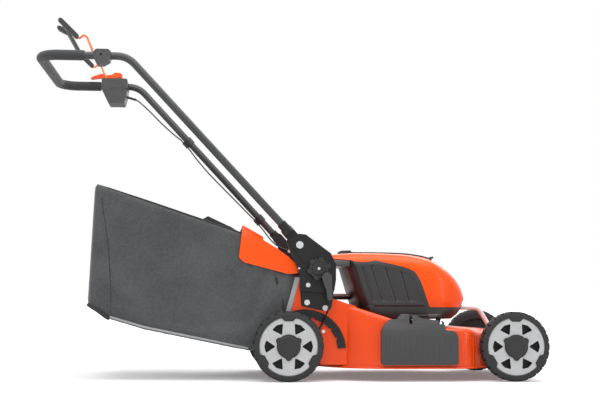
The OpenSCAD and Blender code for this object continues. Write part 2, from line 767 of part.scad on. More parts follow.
vent_seams = [[[248, 333], [285, 220]], [[292, 329], [326, 220]], [[338, 317], [367, 220]]];
vent_recess = 2.5;
module vent_panels() {
    inner = 1.2;
    module flank_body(t) {
        intersection() {
            hood_flank(t);
            hood_tail(t);
        }
    }
    module skin_at(t) {
        difference() {
            flank_body(t);
            flank_body(t + hood_wall);
        }
    }
    module seams() {
        for (s = vent_seams) plate(-200, 200) polygon([s[0], s[0] + [3, 0], s[1] + [3, 0], s[1]]);
    }
    place() color(dark) {
        difference() {
            union() {
                difference() {
                    intersection() {
                        skin_at(inner);
                        union() {
                            plate(-200, 200) polygon(concat([[150, 330]], [for (i = [1:13]) band[i] - [0.2, 0.4]],
                                [[423, vent_foot + 0.2], [190, vent_foot + 0.2]]));
                            hood_flank(hood_wall + seat_gap);
                        }
                        plate(-200, 200) polygon([[150, vent_foot + 0.2], [430, vent_foot + 0.2], [430, 400], [150, 400]]);
                    }
                    plate(-200, 200) polygon(vent_field);
                    plate(-hood_half + 20, hood_half - 20) polygon([[240, 200], [500, 200], [500, 400], [240, 400]]);
                }
                intersection() {
                    skin_at(inner + vent_recess);
                    plate(-200, 200) polygon([for (p = vent_field) p + 3 * unit(p - [310, 280])]);
                }
            }
            seams();
            rod(cable_lower[10], cable_lower[11] + (cable_lower[11] - cable_lower[10]), cable_d / 2 + 0.05);
        }
        difference() {
            intersection() {
                hood_flank(inner);
                plate(-200, 200) polygon([[112, 338], [112, 353.3], [150, 351.6], [188, 348.6], [188, 331], [178, 331]]);
            }
            intersection() {
                hood_flank(inner + hood_wall);
                plate(-200, 200) polygon([[115, 341], [115, 400], [220, 400], [220, 334], [178, 334]]);
            }
            flank_body(inner - 0.02);
        }
    }
    place() color(black) intersection() {
        difference() {
            flank_body(inner + vent_recess + 1.5);
            flank_body(inner + vent_recess + hood_wall - 0.5);
        }
        seams();
    }
}

tray_x = [224, 384];
tray_half = 62;
module hood_base() {
    place() color(dark) difference() {
        union() {
            difference() {
                intersection() {
                    hood_body(0.8);
                    plate(-200, 200) polygon([[208, vent_foot], [423.5, vent_foot], [426, 210.8], [537.2, 210.8],
                        [556.2, 246.8], [600, 246.8], [600, base_low], [330, base_low], [300, base_low + 3],
                        [226, 205], [208, 211]]);
                }
                intersection() {
                    hood_body(0.8 + hood_wall);
                    plate(-200, 200) polygon([[200, 400], [600, 400], [600, base_low + hood_wall],
                        [331, base_low + hood_wall], [301, base_low + hood_wall + 3], [227, 208.5], [200, 217]]);
                }
            }
            translate([chamber_x, 0, plateau_z + 8.2]) cylinder(h = base_low - plateau_z - 7, r = 86);
            translate([tray_x[0], -tray_half, 243]) cube([tray_x[1] - tray_x[0], 2 * tray_half, 20]);
            for (x = [tray_x[0] + 5, tray_x[1] - 5], y = [-tray_half + 5, tray_half - 5])
                translate([x, y, base_low + 1]) cylinder(h = 70, r = 5);
        }
        translate([chamber_x, 0, 100]) cylinder(h = motor_top - 99.5, r = motor_r + 6);
        translate([tray_x[0] + 3, -tray_half + 3, 246]) cube([tray_x[1] - tray_x[0] - 6, 2 * tray_half - 6, 20]);
        deck_body(0);
        rod(carry_path[0] - [2, 0, 0], carry_path[1], carry_r);
    }
}

module battery_pack() {
    place() color(black) translate([tray_x[0] + 4, 0, 246.3]) difference() {
        union() {
            translate([0, -tray_half + 4, 0]) cube([tray_x[1] - tray_x[0] - 8, 2 * tray_half - 8, 82]);
            translate([20, -30, 82]) cube([100, 60, 9]);
        }
        translate([35, -31, 60]) cube([70, 62, 24]);
    }
}

// Lid over the battery, hinged at its front edge
module battery_lid() {
    place() color(dark) difference() {
        union() {
            intersection() {
                difference() {
                    hood_flank(-3.3);
                    hood_flank(-seat_gap);
                }
                translate([0, 0, 300]) linear_extrude(100) polygon(soften([[lid_x[0], -lid_half], [405, -lid_half],
                    [lid_x[1], -lid_half + 6], [lid_x[1], lid_half - 6], [405, lid_half], [lid_x[0], lid_half]], 8));
            }
            translate([lid_x[0] - 4, -40, hood_top_at(lid_x[0]) + 2]) cube([38, 80, 6]);
            cross_rod(lid_axis, -58, 58, 3.4);
        }
        both_sides() translate([lid_axis[0] - 8, 60.2, 300]) cube([24, 40, 100]);
        translate([lid_axis[0] - 8, -100, 300]) cube([24, 200, lid_axis[1] - 5.2 - 300]);
        cross_rod(lid_axis, -60, -49, lid_pin + run_gap);
        cross_rod(lid_axis, 49, 60, lid_pin + run_gap);
    }
}

// Bar at the front for lifting the mower
carry_r = 7.3;
carry_path = [[530, 0, 209], [608, 0, 209], [648, 0, 142]];
module carry_handle() {
    place() color("#d8d9da") difference() {
        cord(eased(carry_path, [0, 26, 0]), carry_r, 20);
        deck_body(0);
    }
}

// ------------------------------------------------------------------ side cover

cover_axis = [-242, 187];                    // y and z of its hinge
cover_rod_r = 3;
cover_gap = 3;
cover_wall = 3;
cover_outline = [[264, 48], [487, 48], [487, 130], [476, 144], [450, 147], [446, 172], [380, 181],
    [364, 190], [319, 190], [311, 178], [290, 177], [276, 164], [264, 145]];
cover_barrels = [[321, 345], [402, 430]];
cover_ears = [346, 431];

module cover_solid(t) {
    intersection() {
        plate(-258 + t, -176) offset(delta = -t) polygon(soften(cover_outline, 3));
        translate([200, 0, 0]) rotate([90, 0, 90]) linear_extrude(320)
            polygon([[-258 + t, t > 0 ? 0 : 48], [-258 + t, 148], [-250 + t, 176 - t], [-247 + t, 192 - t],
                [-120, 192 - t], [-120, t > 0 ? 0 : 48]]);
    }
}

module side_cover() {
    place() color(dark) difference() {
        union() {
            difference() {
                cover_solid(0);
                cover_solid(cover_wall);
                plate(-258 + cover_wall, -100) polygon([[264 + cover_wall, 0], [487 - cover_wall, 0],
                    [487 - cover_wall, 80], [264 + cover_wall, 80]]);
                deck_body(-cover_gap);
                translate([0, cover_axis[0] + 2, 40]) cube([600, 200, 160]);
            }
            for (b = cover_barrels) rod([b[0], cover_axis[0], cover_axis[1]], [b[1], cover_axis[0], cover_axis[1]], 5);
        }
        for (x = cover_ears) {
            translate([x - 0.4, -262, 164]) cube([8.8, 80, 40]);
            translate([x - 0.4, -234, 140]) cube([8.8, 80, 30]);
        }
        rod([300, cover_axis[0], cover_axis[1]], [470, cover_axis[0], cover_axis[1]], cover_rod_r + run_gap);
    }
}

// Rod and ears on the deck for the side cover
module cover_hinge() {
    place() color(black) {
        rod([cover_barrels[0][0] - 2, cover_axis[0], cover_axis[1]], [cover_ears[1] + 10, cover_axis[0], cover_axis[1]], cover_rod_r);
        difference() {
            for (x = cover_ears) translate([x, 0, 0]) rotate([90, 0, 90]) linear_extrude(8)
                polygon(soften([[-198, 150], [-198, 172], [-236, 193], [-248, 190], [-247, 182], [-230, 168], [-214, 150]], 2));
            rod([300, cover_axis[0], cover_axis[1]], [470, cover_axis[0], cover_axis[1]], cover_rod_r);
            deck_body(-0.1);
        }
    }
}

// ------------------------------------------------------------------ handle

function mouth_x(z) = mouth_x0 + mouth_lean * (z - mouth_z0);

// A short ring that welds a straight tube to a bend at the point q, along the direction d
module weld(q, d, r) { rod(q - 0.4 * d, q + 0.4 * d, r + 0.04); }

// The handle's loop in a tube of radius r; its ends stand at x = front
module loop_run(r, front) {
    both_sides() {
        rod([front, -handle_y, handle_z], [loop_x + loop_bend, -handle_y, handle_z], r);
        translate([loop_x + loop_bend, -handle_y + loop_bend, handle_z]) rotate([0, 0, 180])
            rotate_extrude(angle = 90) translate([loop_bend, 0]) circle(r);
        weld([loop_x + loop_bend, -handle_y, handle_z], [1, 0, 0], r);
        weld([loop_x, -handle_y + loop_bend, handle_z], [0, 1, 0], r);
    }
    cross_rod([loop_x, handle_z], -handle_y + loop_bend, handle_y - loop_bend, r);
}

slope = [cos(slope_angle), -sin(slope_angle)];   // down along a side tube
knee_used = knee_bend * tan(slope_angle / 2);
module handle_tube() {
    top = knee + slope * knee_used;
    place() color(dark) {
        loop_run(tube_r, knee[0] - knee_used);
        both_sides() {
            rod(xz(tube_foot, -handle_y), xz(top, -handle_y), tube_r);
            translate([knee[0] - knee_used, -handle_y, handle_z - knee_bend]) rotate([90, 0, 0])
                rotate([0, 0, 90 - slope_angle]) rotate_extrude(angle = slope_angle)
                    translate([knee_bend, 0]) circle(tube_r);
            weld(xz(top, -handle_y), xz(slope, 0), tube_r);
            weld([knee[0] - knee_used, -handle_y, handle_z], [1, 0, 0], tube_r);
        }
    }
}

module foam_grip() {
    place() color(dark) difference() {
        loop_run(grip_r, grip_front);
        loop_run(tube_r, grip_front + 20);
    }
}

module handle_end() {
    down = unit(knob_axis - fold_axis);
    foot = tube_foot - slope * 26;
    difference() {
        union() {
            rod(xz(foot, -handle_y), xz(tube_foot + slope * 10, -handle_y), tube_r + 3);
            plate(-handle_y + 4, -plate_in) bar(tube_foot - slope * 6, tube_foot + slope * 8, 14);
            plate(-plate_out, -plate_in) {
                bar(tube_foot, fold_axis, 17);
                bar(fold_axis, knob_axis, 20);
            }
        }
        rod(xz(foot - slope * 5, -handle_y), xz(tube_foot, -handle_y), tube_r + 0.03);
        cross_rod(fold_axis, -plate_out - 1, -plate_in + 1, stud_r + 1 + run_gap);
        // open slot that lets the plate swing off the knob's stud
        plate(-plate_out - 1, -plate_in + 1) difference() {
            translate(fold_axis) circle(norm(knob_axis - fold_axis) + stud_r + 0.6);
            translate(fold_axis) circle(norm(knob_axis - fold_axis) - stud_r - 0.6);
            polygon([fold_axis, fold_axis + 200 * down, fold_axis + 200 * [down[1], -down[0]],
                fold_axis - 200 * down, fold_axis - 200 * [down[1], -down[0]]]);
        }
        cross_rod(knob_axis, -plate_out - 1, -plate_in + 1, stud_r + 0.6);
    }
}
module handle_ends() { place() color(dark) both_sides() handle_end(); }

// Fold bolts and the studs of the knobs, fixed in the brackets
module pivot_bolts() {
    place() color(zinc) both_sides() {
        cross_rod(fold_axis, -plate_out, -bracket_in + 1.5, stud_r + 1);
        cross_rod(fold_axis, -plate_out - 5, -plate_out - 0.1, 10.5);
        cross_rod(knob_axis, -plate_out - knob_t - 2, -bracket_in + 1.5, stud_r);
    }
}

// Lobed knob that clamps the handle's end plate
module knob() {
    r = 28;
    y = plate_out + 0.2;
    color(black) difference() {
        union() {
            cross_rod(knob_axis, -y - knob_t + 6, -y, r);
            cross_rod(knob_axis, -y - knob_t, -y, 18);
            for (a = [15:60:359]) cross_rod(polar(knob_axis, r - 1, a), -y - knob_t + 4, -y - 2, 7.5);
        }
        cross_rod(knob_axis, -y - knob_t - 1, -y + 1, stud_r + run_gap);
        cross_rod(knob_axis, -y - knob_t - 1, -y - knob_t + 2, 11);
    }
}
module knob_right() { place() knob(); }
module knob_left() { place() mirror([0, 1, 0]) knob(); }

// Housing on the right tube for the bail's end
module bail_housing() {
    place() color(dark) difference() {
        translate([box_x, 0, handle_z]) plate(-handle_y - 16, -bail_y - bail_r - 2.5)
            polygon(soften([[-25, -6], [-14, -27], [4, -27], [22, -16], [26, -4], [26, 10], [18, 17], [-16, 17], [-25, 8]], 5));
        rod([box_x - 60, -handle_y, handle_z], [box_x + 60, -handle_y, handle_z], tube_r + 0.03);
        cross_rod(bail_axis, -bail_y - 16, -bail_y, bail_r + run_gap);
        cross_rod([box_x - 2, handle_z], -handle_y - 17, -handle_y - 12, 4);
    }
}

// Switch box on the left tube: upper shell with the bail's slot and the lever's ears, lower shell
lever_axis = [box_x + 11, box_z[2] + 7];
module control_box() {
    place() color(dark) difference() {
        union() {
            translate([box_x, 0, 0]) plate(box_y[0], box_y[1])
                polygon(soften([[-43, box_z[1]], [40.5, box_z[1]], [40.5, box_z[2]], [-42, box_z[2]]], 6));
            translate([box_x, 0, 0]) plate(box_y[0], box_y[1])
                polygon([[-43, box_z[1]], [40.5, box_z[1]], [40.5, box_z[1] + 8], [-43, box_z[1] + 8]]);
            for (y = [start_y[0] - 3.4, start_y[1] + 0.4])
                plate(y, y + 3) bar(lever_axis, lever_axis - [0, 8], 5);
        }
        rod([box_x - 60, handle_y, handle_z], [box_x + 60, handle_y, handle_z], tube_r + 0.03);
        translate([box_x - 50, bail_y - bail_r - 2.5, box_z[1] + 9]) cube([35, 2 * bail_r + 5, 60]);
        cross_rod(bail_axis, bail_y, bail_y + 17, bail_r + run_gap);
        cross_rod(lever_axis, start_y[0] - 5, start_y[1] + 5, 2.5 + run_gap);
    }
}

module control_box_base() {
    place() color(dark) difference() {
        translate([box_x, 0, 0]) plate(box_y[0] + 0.5, box_y[1] - 0.5)
            polygon(soften([[-42, box_z[1] - 0.2], [-41, box_z[1] - 6], [-20, box_z[0]], [30, box_z[0]], [39, box_z[1] - 16],
                [40, box_z[1] - 0.2]], 4));
        rod(gland[0], gland[1], 4);
    }
}

// Orange lever on the switch box; its tip reaches back over the grip
module start_lever() {
    place() color(orange) translate([lever_axis[0], 0, lever_axis[1]]) {
        plate(start_y[0], start_y[1]) polygon(soften([[9, -5], [10, 13], [2, 19.5], [-15, 20], [-24, 12.5], [-42, 11],
            [-56, 15], [-60, 15], [-84, 7], [-94, 0], [-91, -3], [-52, 2], [-30, -4]], 1.4));
        cross_rod([0, 0], start_y[0] - 3.2, start_y[1] + 3.2, 2.5);
    }
}

// Wire bail: two pivots, two shaped legs and the bar across
bail_side = [bail_axis, bail_axis + [-5, 24], bail_axis + [-20, 60], bail_axis + [-29, 65],
    bail_axis + [-41, 55], bail_axis + [-52, 60], bail_axis + [-88, 98]];
bail_top = bail_axis + [-88, 98];
bail_path = concat([xz(bail_axis, -bail_y - 13)], [for (p = bail_side) xz(p, -bail_y)],
    [for (i = [6:-1:0]) xz(bail_side[i], bail_y)], [xz(bail_axis, bail_y + 13)]);
bail_bends = [0, 5, 5, 5, 5, 5, 5, 8, 8, 5, 5, 5, 5, 5, 5, 0];
module bail_wire() { place() color("#f58233") cord(eased(bail_path, bail_bends), bail_r, 10); }

module bail_grip() {
    start = bail_axis + [-50, 61];
    tip = bail_axis + [-96, 106];
    place() color(black) difference() {
        union() {
            both_plates(bail_y - 8, bail_y + 8) bar(start, tip, 7);
            plate(-bail_y, bail_y) bar(bail_top + [4, -4], bail_top + [-5, 5], 5.5);
            plate(-95, -65) bar(bail_top, bail_top + [-28, 14], 6);
        }
        cord(eased(bail_path, bail_bends), bail_r, 10);
    }
}

// Two clips that hold the cable on the left tube
clip_along = [86, 432];
down = [slope[1], -slope[0]] * (tube_r + 4.5);  // from the tube's axis to the cable's
module cable_clips() {
    lift = norm(down);
    place() color(black) for (s = clip_along)
        translate(xz(tube_foot - slope * s, handle_y)) rotate([0, 90 + slope_angle, 0]) difference() {
            union() {
                translate([0, 0, -12]) cylinder(h = 24, r = tube_r + 3);
                translate([lift, -4, -11]) cylinder(h = 22, r = cable_d / 2 + 2.5);
            }
            translate([0, 0, -15]) cylinder(h = 30, r = tube_r + 0.02);
            translate([lift, -4, -15]) cylinder(h = 30, r = cable_d / 2 + 0.02);
        }
}

// Cable from the switch box down the left tube and over the fold to the hood
gland = [[-505, 222, 893], [-474, 222, 884]];
function clip_at(s, d) = xz(tube_foot - slope * (s - d) + down, handle_y - 4);
cable_upper = [[-474, 222, 884], [-464, 222.5, 878], [-430, 225, 848], [-390, 226, 808], [-350, 226, 772],
    clip_at(clip_along[1], -24), clip_at(clip_along[1], -14), clip_at(clip_along[1], 14),
    [-276, 226, 694], [-243, 225, 655], [-211, 225, 621], [-178, 225, 588], [-146, 225, 556], [-112, 226, 522],
    clip_at(clip_along[0], -14), clip_at(clip_along[0], 14),
    [-47, 221, 451], [-30, 212, 428], [-12, 206, 410], [8, 205, 399], [27, 204.5, 392]];
cable_lower = [[39, 204.5, 386], [52, 203, 368], [62, 201, 338], [74, 194, 300], [84, 188, 276], [96, 182, 262],
    [108, 176, 253.5], [120, 168, 246.5], [132, 158, 242.5], [150, 142, 242], [180, 116, 241.5], [214, 88, 241]];
module upper_cable() {
    place() color(black) {
        cord(cable_upper, cable_d / 2, 10);
        rod(gland[0], gland[1], 4);
    }
}
module lower_cable() { place() color(black) cord(cable_lower, cable_d / 2, 10); }

// ------------------------------------------------------------------ rear flap and bag

module flap_rod() { place() color(zinc) cross_rod(flap_axis, -bracket_out, bracket_out, flap_rod_r); }

flap_top = [[-132, 437], [-99, 419], [-63, 399], [-27, 377], [3, 355], [22, 337], [34, 327]];
wing_low = [[33, 309], [4, 305], [-85, 328], [-128, 339], [-141, 353]];
flap_lip = [[-130, 450], [-70, 416]];
flap_half = 200;
barrel_r = 6;
module rear_flap() {
    inner = [for (i = [6:-1:0]) flap_top[i] - [0.6, 1] * flap_wall];
    place() color(orange) difference() {
        union() {
            plate(-flap_half, flap_half) polygon(concat(flap_top, inner));
            both_plates(flap_half - flap_wall, flap_half) polygon(soften(concat(flap_top, wing_low), 1.2));
            plate(-150, 150) polygon(concat(flap_lip, [[-67, 400], [-99, 418], [-132, 436]]));
            for (y = [-170, -20, 130]) cross_rod(flap_axis, y, y + 40, barrel_r);
            for (y = [-170, -20, 130]) plate(y, y + 40) polygon([flap_axis, flap_top[6], flap_top[5], flap_axis + [-6, 0]]);
        }
        plate(-150 + flap_wall, 150 - flap_wall) polygon([flap_lip[0] - [0, 3.5], flap_lip[1] - [4, 3],
            [-72, 404.5], [-99, 419.6], [-136, 440]]);
        cross_rod(flap_axis, -flap_half - 1, flap_half + 1, flap_rod_r + run_gap);
    }
}

// Stations of the bag from its mouth to its back: top, bottom, half width and corner radius
frame_depth = 15;
frame_z = [97, 297];
bag_stations = [
    [[mouth_x(frame_z[1]) - frame_depth - 0.7, frame_z[1]], [mouth_x(frame_z[0]) - frame_depth - 0.7, frame_z[0]], bag_half - 2, 10],
    [[-60, 368], [-66, 92], bag_half - 1, 14],
    [[-122, 421], [-112, 90], bag_half, 16],
    [[-250, 464], [-255, 119], bag_half, 18],
    [[-400, 514], [-408, 150], bag_half, 18],
    [[-522, 554], [-508, 180], bag_half, 22],
    [[-551, 553], [-561, 208], bag_half - 28, 26],
    [[-556, 545], [-569, 218], bag_half - 40, 26]];

// A station's ring: a rounded rectangle between its top and bottom lines, pulled in by t
function bag_ring(s, t) = let (top = s[0], low = s[1], w = s[2] - t, h = norm(top - low), up = unit(top - low), c = s[3])
    [for (q = [270, 180, 90, 0], a = [90:-30:0])
        let (side = q == 0 || q == 270 ? 1 : -1,
            y = side * (w - c) + c * cos(q + a),
            p = low + up * ((q < 180 ? h - t - c : t + c) + c * sin(q + a))) [p[0], y, p[1]]];

bag_wall = 2.5;
module bag_fabric() {
    n = len(bag_stations);
    place() color("#565758") difference() {
        skin([for (s = bag_stations) bag_ring(s, 0)]);
        skin(concat(
            [[for (p = bag_ring(bag_stations[0], bag_wall)) p + [4, 0, 0]]],
            [for (i = [1:n - 2]) bag_ring(bag_stations[i], bag_wall)],
            [[for (p = bag_ring(bag_stations[n - 1], bag_wall)) p + [bag_wall, 0, 0]]]));
    }
}

// Frame round the bag's mouth, which stands against the discharge housing
module bag_frame() {
    function side(z, back) = [mouth_x(z) - back, z];
    place() color("#8d8f91") difference() {
        plate(-bag_half, bag_half) polygon([side(frame_z[0], frame_depth), side(frame_z[0], 0.5),
            side(frame_z[1], 0.5), side(frame_z[1], frame_depth)]);
        plate(-bag_half + 7, bag_half - 7) polygon([side(frame_z[0] + 7, 60), side(frame_z[0] + 7, -60),
            side(frame_z[1] - 7, -60), side(frame_z[1] - 7, 60)]);
    }
}

// Plastic grip panel on top of the bag, with a slot for the fingers
module bag_handle() {
    a = [-149, 430.5];
    b = [-246, 463.5];
    d = unit(b - a);
    place() color(black) difference() {
        plate(-90, 90) polygon([a, a + [4, 6], a + [-12, 16], b + [14, 16], b + [-6, 5], b]);
        plate(-82, 82) polygon([a - [6, -1.5], a - [14, -9], b + [16, 9], b + [8, 0.5]]);
        translate([-225, -55, 400]) cube([34, 110, 100]);
    }
}

deck_shell();
rear_housing();
bracket_right();
bracket_left();
height_quadrant();
axle_brackets();
hood_top();
hood_base();
vent_panels();
battery_pack();
motor_housing();
flap_rod();
cover_hinge();
carry_handle();
deck_bolts();
lower_cable();
motor_shaft();
blade_adapter();
blade();
blade_bolt();
rear_axle();
height_lever();
lever_grip();
front_axle();
height_link();
tyre_rear_right();
hubcap_rear_right();
centre_cap_rear_right();
tyre_rear_left();
hubcap_rear_left();
centre_cap_rear_left();
tyre_front_right();
hubcap_front_right();
centre_cap_front_right();
tyre_front_left();
hubcap_front_left();
centre_cap_front_left();
handle_tube();
foam_grip();
handle_ends();
pivot_bolts();
bail_housing();
control_box();
control_box_base();
cable_clips();
upper_cable();
bail_wire();
bail_grip();
start_lever();
knob_right();
knob_left();
rear_flap();
side_cover();
battery_lid();
bag_fabric();
bag_frame();
bag_handle();
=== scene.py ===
# %% [markdown]
# # A battery lawn mower that is pushed by hand
#
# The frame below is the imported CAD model: every hinge, axle and shell already stands at its real
# size. This lesson dresses it. Shapes that a CAD solid draws in flat facets are made again as
# smooth meshes, soft parts are modelled as cloth, and every part gets the material of the real one.

# %% Load the frame
import json
import math

import bmesh
import bpy
from mathutils import Matrix, Vector
from mathutils.bvhtree import BVHTree

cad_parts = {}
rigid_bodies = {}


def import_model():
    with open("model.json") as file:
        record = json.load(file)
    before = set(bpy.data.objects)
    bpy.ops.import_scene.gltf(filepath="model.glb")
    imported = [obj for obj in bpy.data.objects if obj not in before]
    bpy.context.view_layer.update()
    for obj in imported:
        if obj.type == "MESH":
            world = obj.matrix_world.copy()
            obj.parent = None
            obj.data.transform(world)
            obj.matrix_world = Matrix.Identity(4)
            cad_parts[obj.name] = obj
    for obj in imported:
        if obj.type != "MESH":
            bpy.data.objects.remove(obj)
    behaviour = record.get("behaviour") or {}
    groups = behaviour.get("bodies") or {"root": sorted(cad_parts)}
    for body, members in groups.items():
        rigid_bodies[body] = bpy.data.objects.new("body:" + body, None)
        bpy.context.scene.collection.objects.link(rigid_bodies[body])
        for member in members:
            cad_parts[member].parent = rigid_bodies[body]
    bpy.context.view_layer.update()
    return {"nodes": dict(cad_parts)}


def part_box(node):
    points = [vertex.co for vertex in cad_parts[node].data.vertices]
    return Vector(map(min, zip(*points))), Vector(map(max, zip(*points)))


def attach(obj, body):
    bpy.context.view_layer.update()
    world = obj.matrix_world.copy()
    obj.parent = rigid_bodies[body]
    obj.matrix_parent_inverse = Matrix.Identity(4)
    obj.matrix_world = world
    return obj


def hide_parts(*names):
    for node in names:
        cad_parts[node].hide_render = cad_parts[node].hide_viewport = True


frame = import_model()
MM = 0.001

# %% [markdown]
# The camera comes first, so that each piece can be judged from where it is seen. It stands low and
# far to the mower's right, a little behind the middle, and looks slightly up and forward.

# %% Camera
def aim(position, yaw, pitch, roll):
    """A camera's matrix from its place in mm and its turns in degrees; no yaw looks along +Y."""
    yaw, pitch, roll = (math.radians(a) for a in (yaw, pitch, roll))
    ahead = Vector((math.sin(yaw) * math.cos(pitch), math.cos(yaw) * math.cos(pitch), math.sin(pitch)))
    level = Vector((math.cos(yaw), -math.sin(yaw), 0))
    up = level.cross(ahead)
    right = level * math.cos(roll) + up * math.sin(roll)
    top = up * math.cos(roll) - level * math.sin(roll)
    turn = Matrix((right, top, -ahead)).transposed().to_4x4()
    return Matrix.Translation(Vector(position) * MM) @ turn


camera = bpy.data.objects.new("camera", bpy.data.cameras.new("camera"))
bpy.context.scene.collection.objects.link(camera)
camera.matrix_world = aim((-225.1, -3300.2, 239.1), yaw=4.598, pitch=5.176, roll=0.213)
camera.data.lens = 64.36
camera.data.sensor_width = 36
camera.data.clip_end = 100
bpy.context.scene.camera = camera
bpy.context.scene.view_settings.view_transform = "Standard"
print("camera at", [round(v, 3) for v in camera.matrix_world.translation])

# %% [markdown]
# Every colour is written as an sRGB hex value, as a paint chart gives it. Blender's shaders work in
# linear light, so one function converts them. A second one adds a shader node with its settings
# and its links, and each material is built from calls to it.

# %% Colour and node helpers
def linear(colour):
    """(r, g, b, 1) in linear light from '#rrggbb'."""
    parts = [int(colour[i:i + 2], 16) / 255 for i in (1, 3, 5)]
    return (*[c / 12.92 if c <= 0.04045 else ((c + 0.055) / 1.055) ** 2.4 for c in parts], 1)


def add_node(material, kind, links=None, **settings):
    """Adds a shader node. links maps its inputs to other nodes' outputs, settings sets the rest."""
    node = material.node_tree.nodes.new(kind)
    for name, value in settings.items():
        if hasattr(node, name):
            setattr(node, name, value)
        else:
            node.inputs[name.replace("_", " ")].default_value = value
    for name, output in (links or {}).items():
        material.node_tree.links.new(output, node.inputs[name])
    return node


def new_material(name, colour, **sockets):
    """A material whose surface has one colour, and the given values on the shader's sockets."""
    material = bpy.data.materials.new(name)
    material.use_nodes = True
    shader = material.node_tree.nodes["Principled BSDF"]
    shader.inputs["Base Color"].default_value = linear(colour)
    material.diffuse_color = linear(colour)
    for socket, value in sockets.items():
        shader.inputs[socket.replace("_", " ")].default_value = value
    return material, shader


def relief(material, shader, height, distance, strength=1.0):
    """Runs a height pattern into the shader's normal; distance is its real depth in metres."""
    bump = add_node(material, "ShaderNodeBump", {"Height": height}, Strength=strength, Distance=distance)
    material.node_tree.links.new(bump.outputs["Normal"], shader.inputs["Normal"])
    return bump


def shift(material, shader, pattern, dark, light):
    """Colours the surface between two hex colours by a pattern."""
    mix = add_node(material, "ShaderNodeMix", data_type="RGBA")
    mix.inputs[6].default_value = linear(dark)
    mix.inputs[7].default_value = linear(light)
    material.node_tree.links.new(pattern, mix.inputs[0])
    material.node_tree.links.new(mix.outputs[2], shader.inputs["Base Color"])
    return mix


def vary(material, shader, pattern, low, high):
    """Runs a pattern into the roughness, between two values."""
    span = add_node(material, "ShaderNodeMapRange", {"Value": pattern}, To_Min=low, To_Max=high)
    material.node_tree.links.new(span.outputs["Result"], shader.inputs["Roughness"])


def place_in_metres(material):
    """Object coordinates, so that a pattern keeps its real size on every part."""
    return add_node(material, "ShaderNodeTexCoord").outputs["Object"]

# %% [markdown]
# The deck is stamped steel under a thick powder coat. The coat is glossy, but it flows a little as
# it bakes, so reflections waver in a pattern of a few millimetres that painters call orange peel.
# A noise of that size in the bump, at a depth of some hundredths of a millimetre, gives it. The
# coat is a pigment under clear resin, which the shader's own coat layer draws.

# %% Powder-coated steel, orange
def powder_coat(name, colour, deep, roughness, coat, peel=5.0):
    """Baked powder paint; peel is the size of its waves in mm."""
    material, shader = new_material(name, colour, Roughness=roughness, IOR=1.5,
                                    Coat_Weight=coat, Coat_Roughness=0.07)
    where = place_in_metres(material)
    waves = add_node(material, "ShaderNodeTexNoise", {"Vector": where}, Scale=1000 / peel, Detail=2.0)
    broad = add_node(material, "ShaderNodeTexNoise", {"Vector": where}, Scale=9.0, Detail=3.0)
    shift(material, shader, broad.outputs["Fac"], deep, colour)
    vary(material, shader, broad.outputs["Fac"], roughness * 0.8, roughness * 1.25)
    relief(material, shader, waves.outputs["Fac"], 0.00004)
    shader.inputs["Specular IOR Level"].default_value = 0.25
    return material


orange_enamel = powder_coat("powder_coated_steel_orange", "#e64808", "#dc4106", 0.28, 0.2)
black_enamel = powder_coat("powder_coated_steel_black", "#19191a", "#141415", 0.4, 0.15, peel=2.0)
tube_enamel = powder_coat("powder_coated_tube_grey", "#3c3d3e", "#353637", 0.4, 0.2, peel=1.5)

# %% [markdown]
# The hood, flap and covers are injection-moulded plastic. The orange ones are polished in the
# mould, so they are glossy and even. The dark ones are glass-filled nylon or polypropylene from a
# spark-eroded mould: a fine grain, about half a millimetre, that scatters the light and leaves a
# broad, soft sheen. The grain is drawn at 0.8 mm so that it shows.

# %% Moulded plastics
def moulded(name, colour, roughness, grain=0.8, depth=0.03, drift=0.06):
    """Injection-moulded plastic; grain and depth of the mould's texture in mm."""
    material, shader = new_material(name, colour, Roughness=roughness, IOR=1.49)
    where = place_in_metres(material)
    speck = add_node(material, "ShaderNodeTexNoise", {"Vector": where}, Scale=1000 / grain, Detail=3.0)
    flow = add_node(material, "ShaderNodeTexNoise", {"Vector": where}, Scale=14.0, Detail=2.0)
    vary(material, shader, flow.outputs["Fac"], roughness - drift, roughness + drift)
    relief(material, shader, speck.outputs["Fac"], depth * MM)
    return material, shader


orange_abs, shader = moulded("moulded_abs_orange", "#f2510b", 0.3, grain=3.0, depth=0.012)
shader.inputs["Specular IOR Level"].default_value = 0.2
shader.inputs["Coat Weight"].default_value = 0.08
shader.inputs["Coat Roughness"].default_value = 0.12
dark_nylon, shader = moulded("moulded_nylon_dark", "#363637", 0.5)
hood_nylon, shader = moulded("moulded_nylon_hood", "#28282a", 0.4)
black_nylon, shader = moulded("moulded_nylon_black", "#1a1a1b", 0.45)
pale_nylon, shader = moulded("moulded_nylon_pale", "#dcdddd", 0.42)
frame_nylon, shader = moulded("moulded_nylon_grey", "#97999b", 0.45)
cap_silver, shader = moulded("silver_lacquered_abs", "#b0b1b2", 0.36, grain=1.2, depth=0.01)
shader.inputs["Metallic"].default_value = 0.35
print("plastics made")

# %% [markdown]
# Rubber on the wheels is loaded with carbon black, so it is nearly black and quite rough, and it
# picks up dust: a slightly paler, mottled film. The grip's sleeve is foamed rubber, whose cut
# pores, about a millimetre wide, make it look velvety. A little sheen stands for the loose edges
# of the pores.

# %% Rubber, foam and cable
tyre_rubber, shader = new_material("carbon_black_rubber", "#171718", Roughness=0.7, IOR=1.52)
where = place_in_metres(tyre_rubber)
dust = add_node(tyre_rubber, "ShaderNodeTexNoise", {"Vector": where}, Scale=60.0, Detail=6.0)
shift(tyre_rubber, shader, dust.outputs["Fac"], "#131314", "#1f1f20")
relief(tyre_rubber, shader, dust.outputs["Fac"], 0.0002)

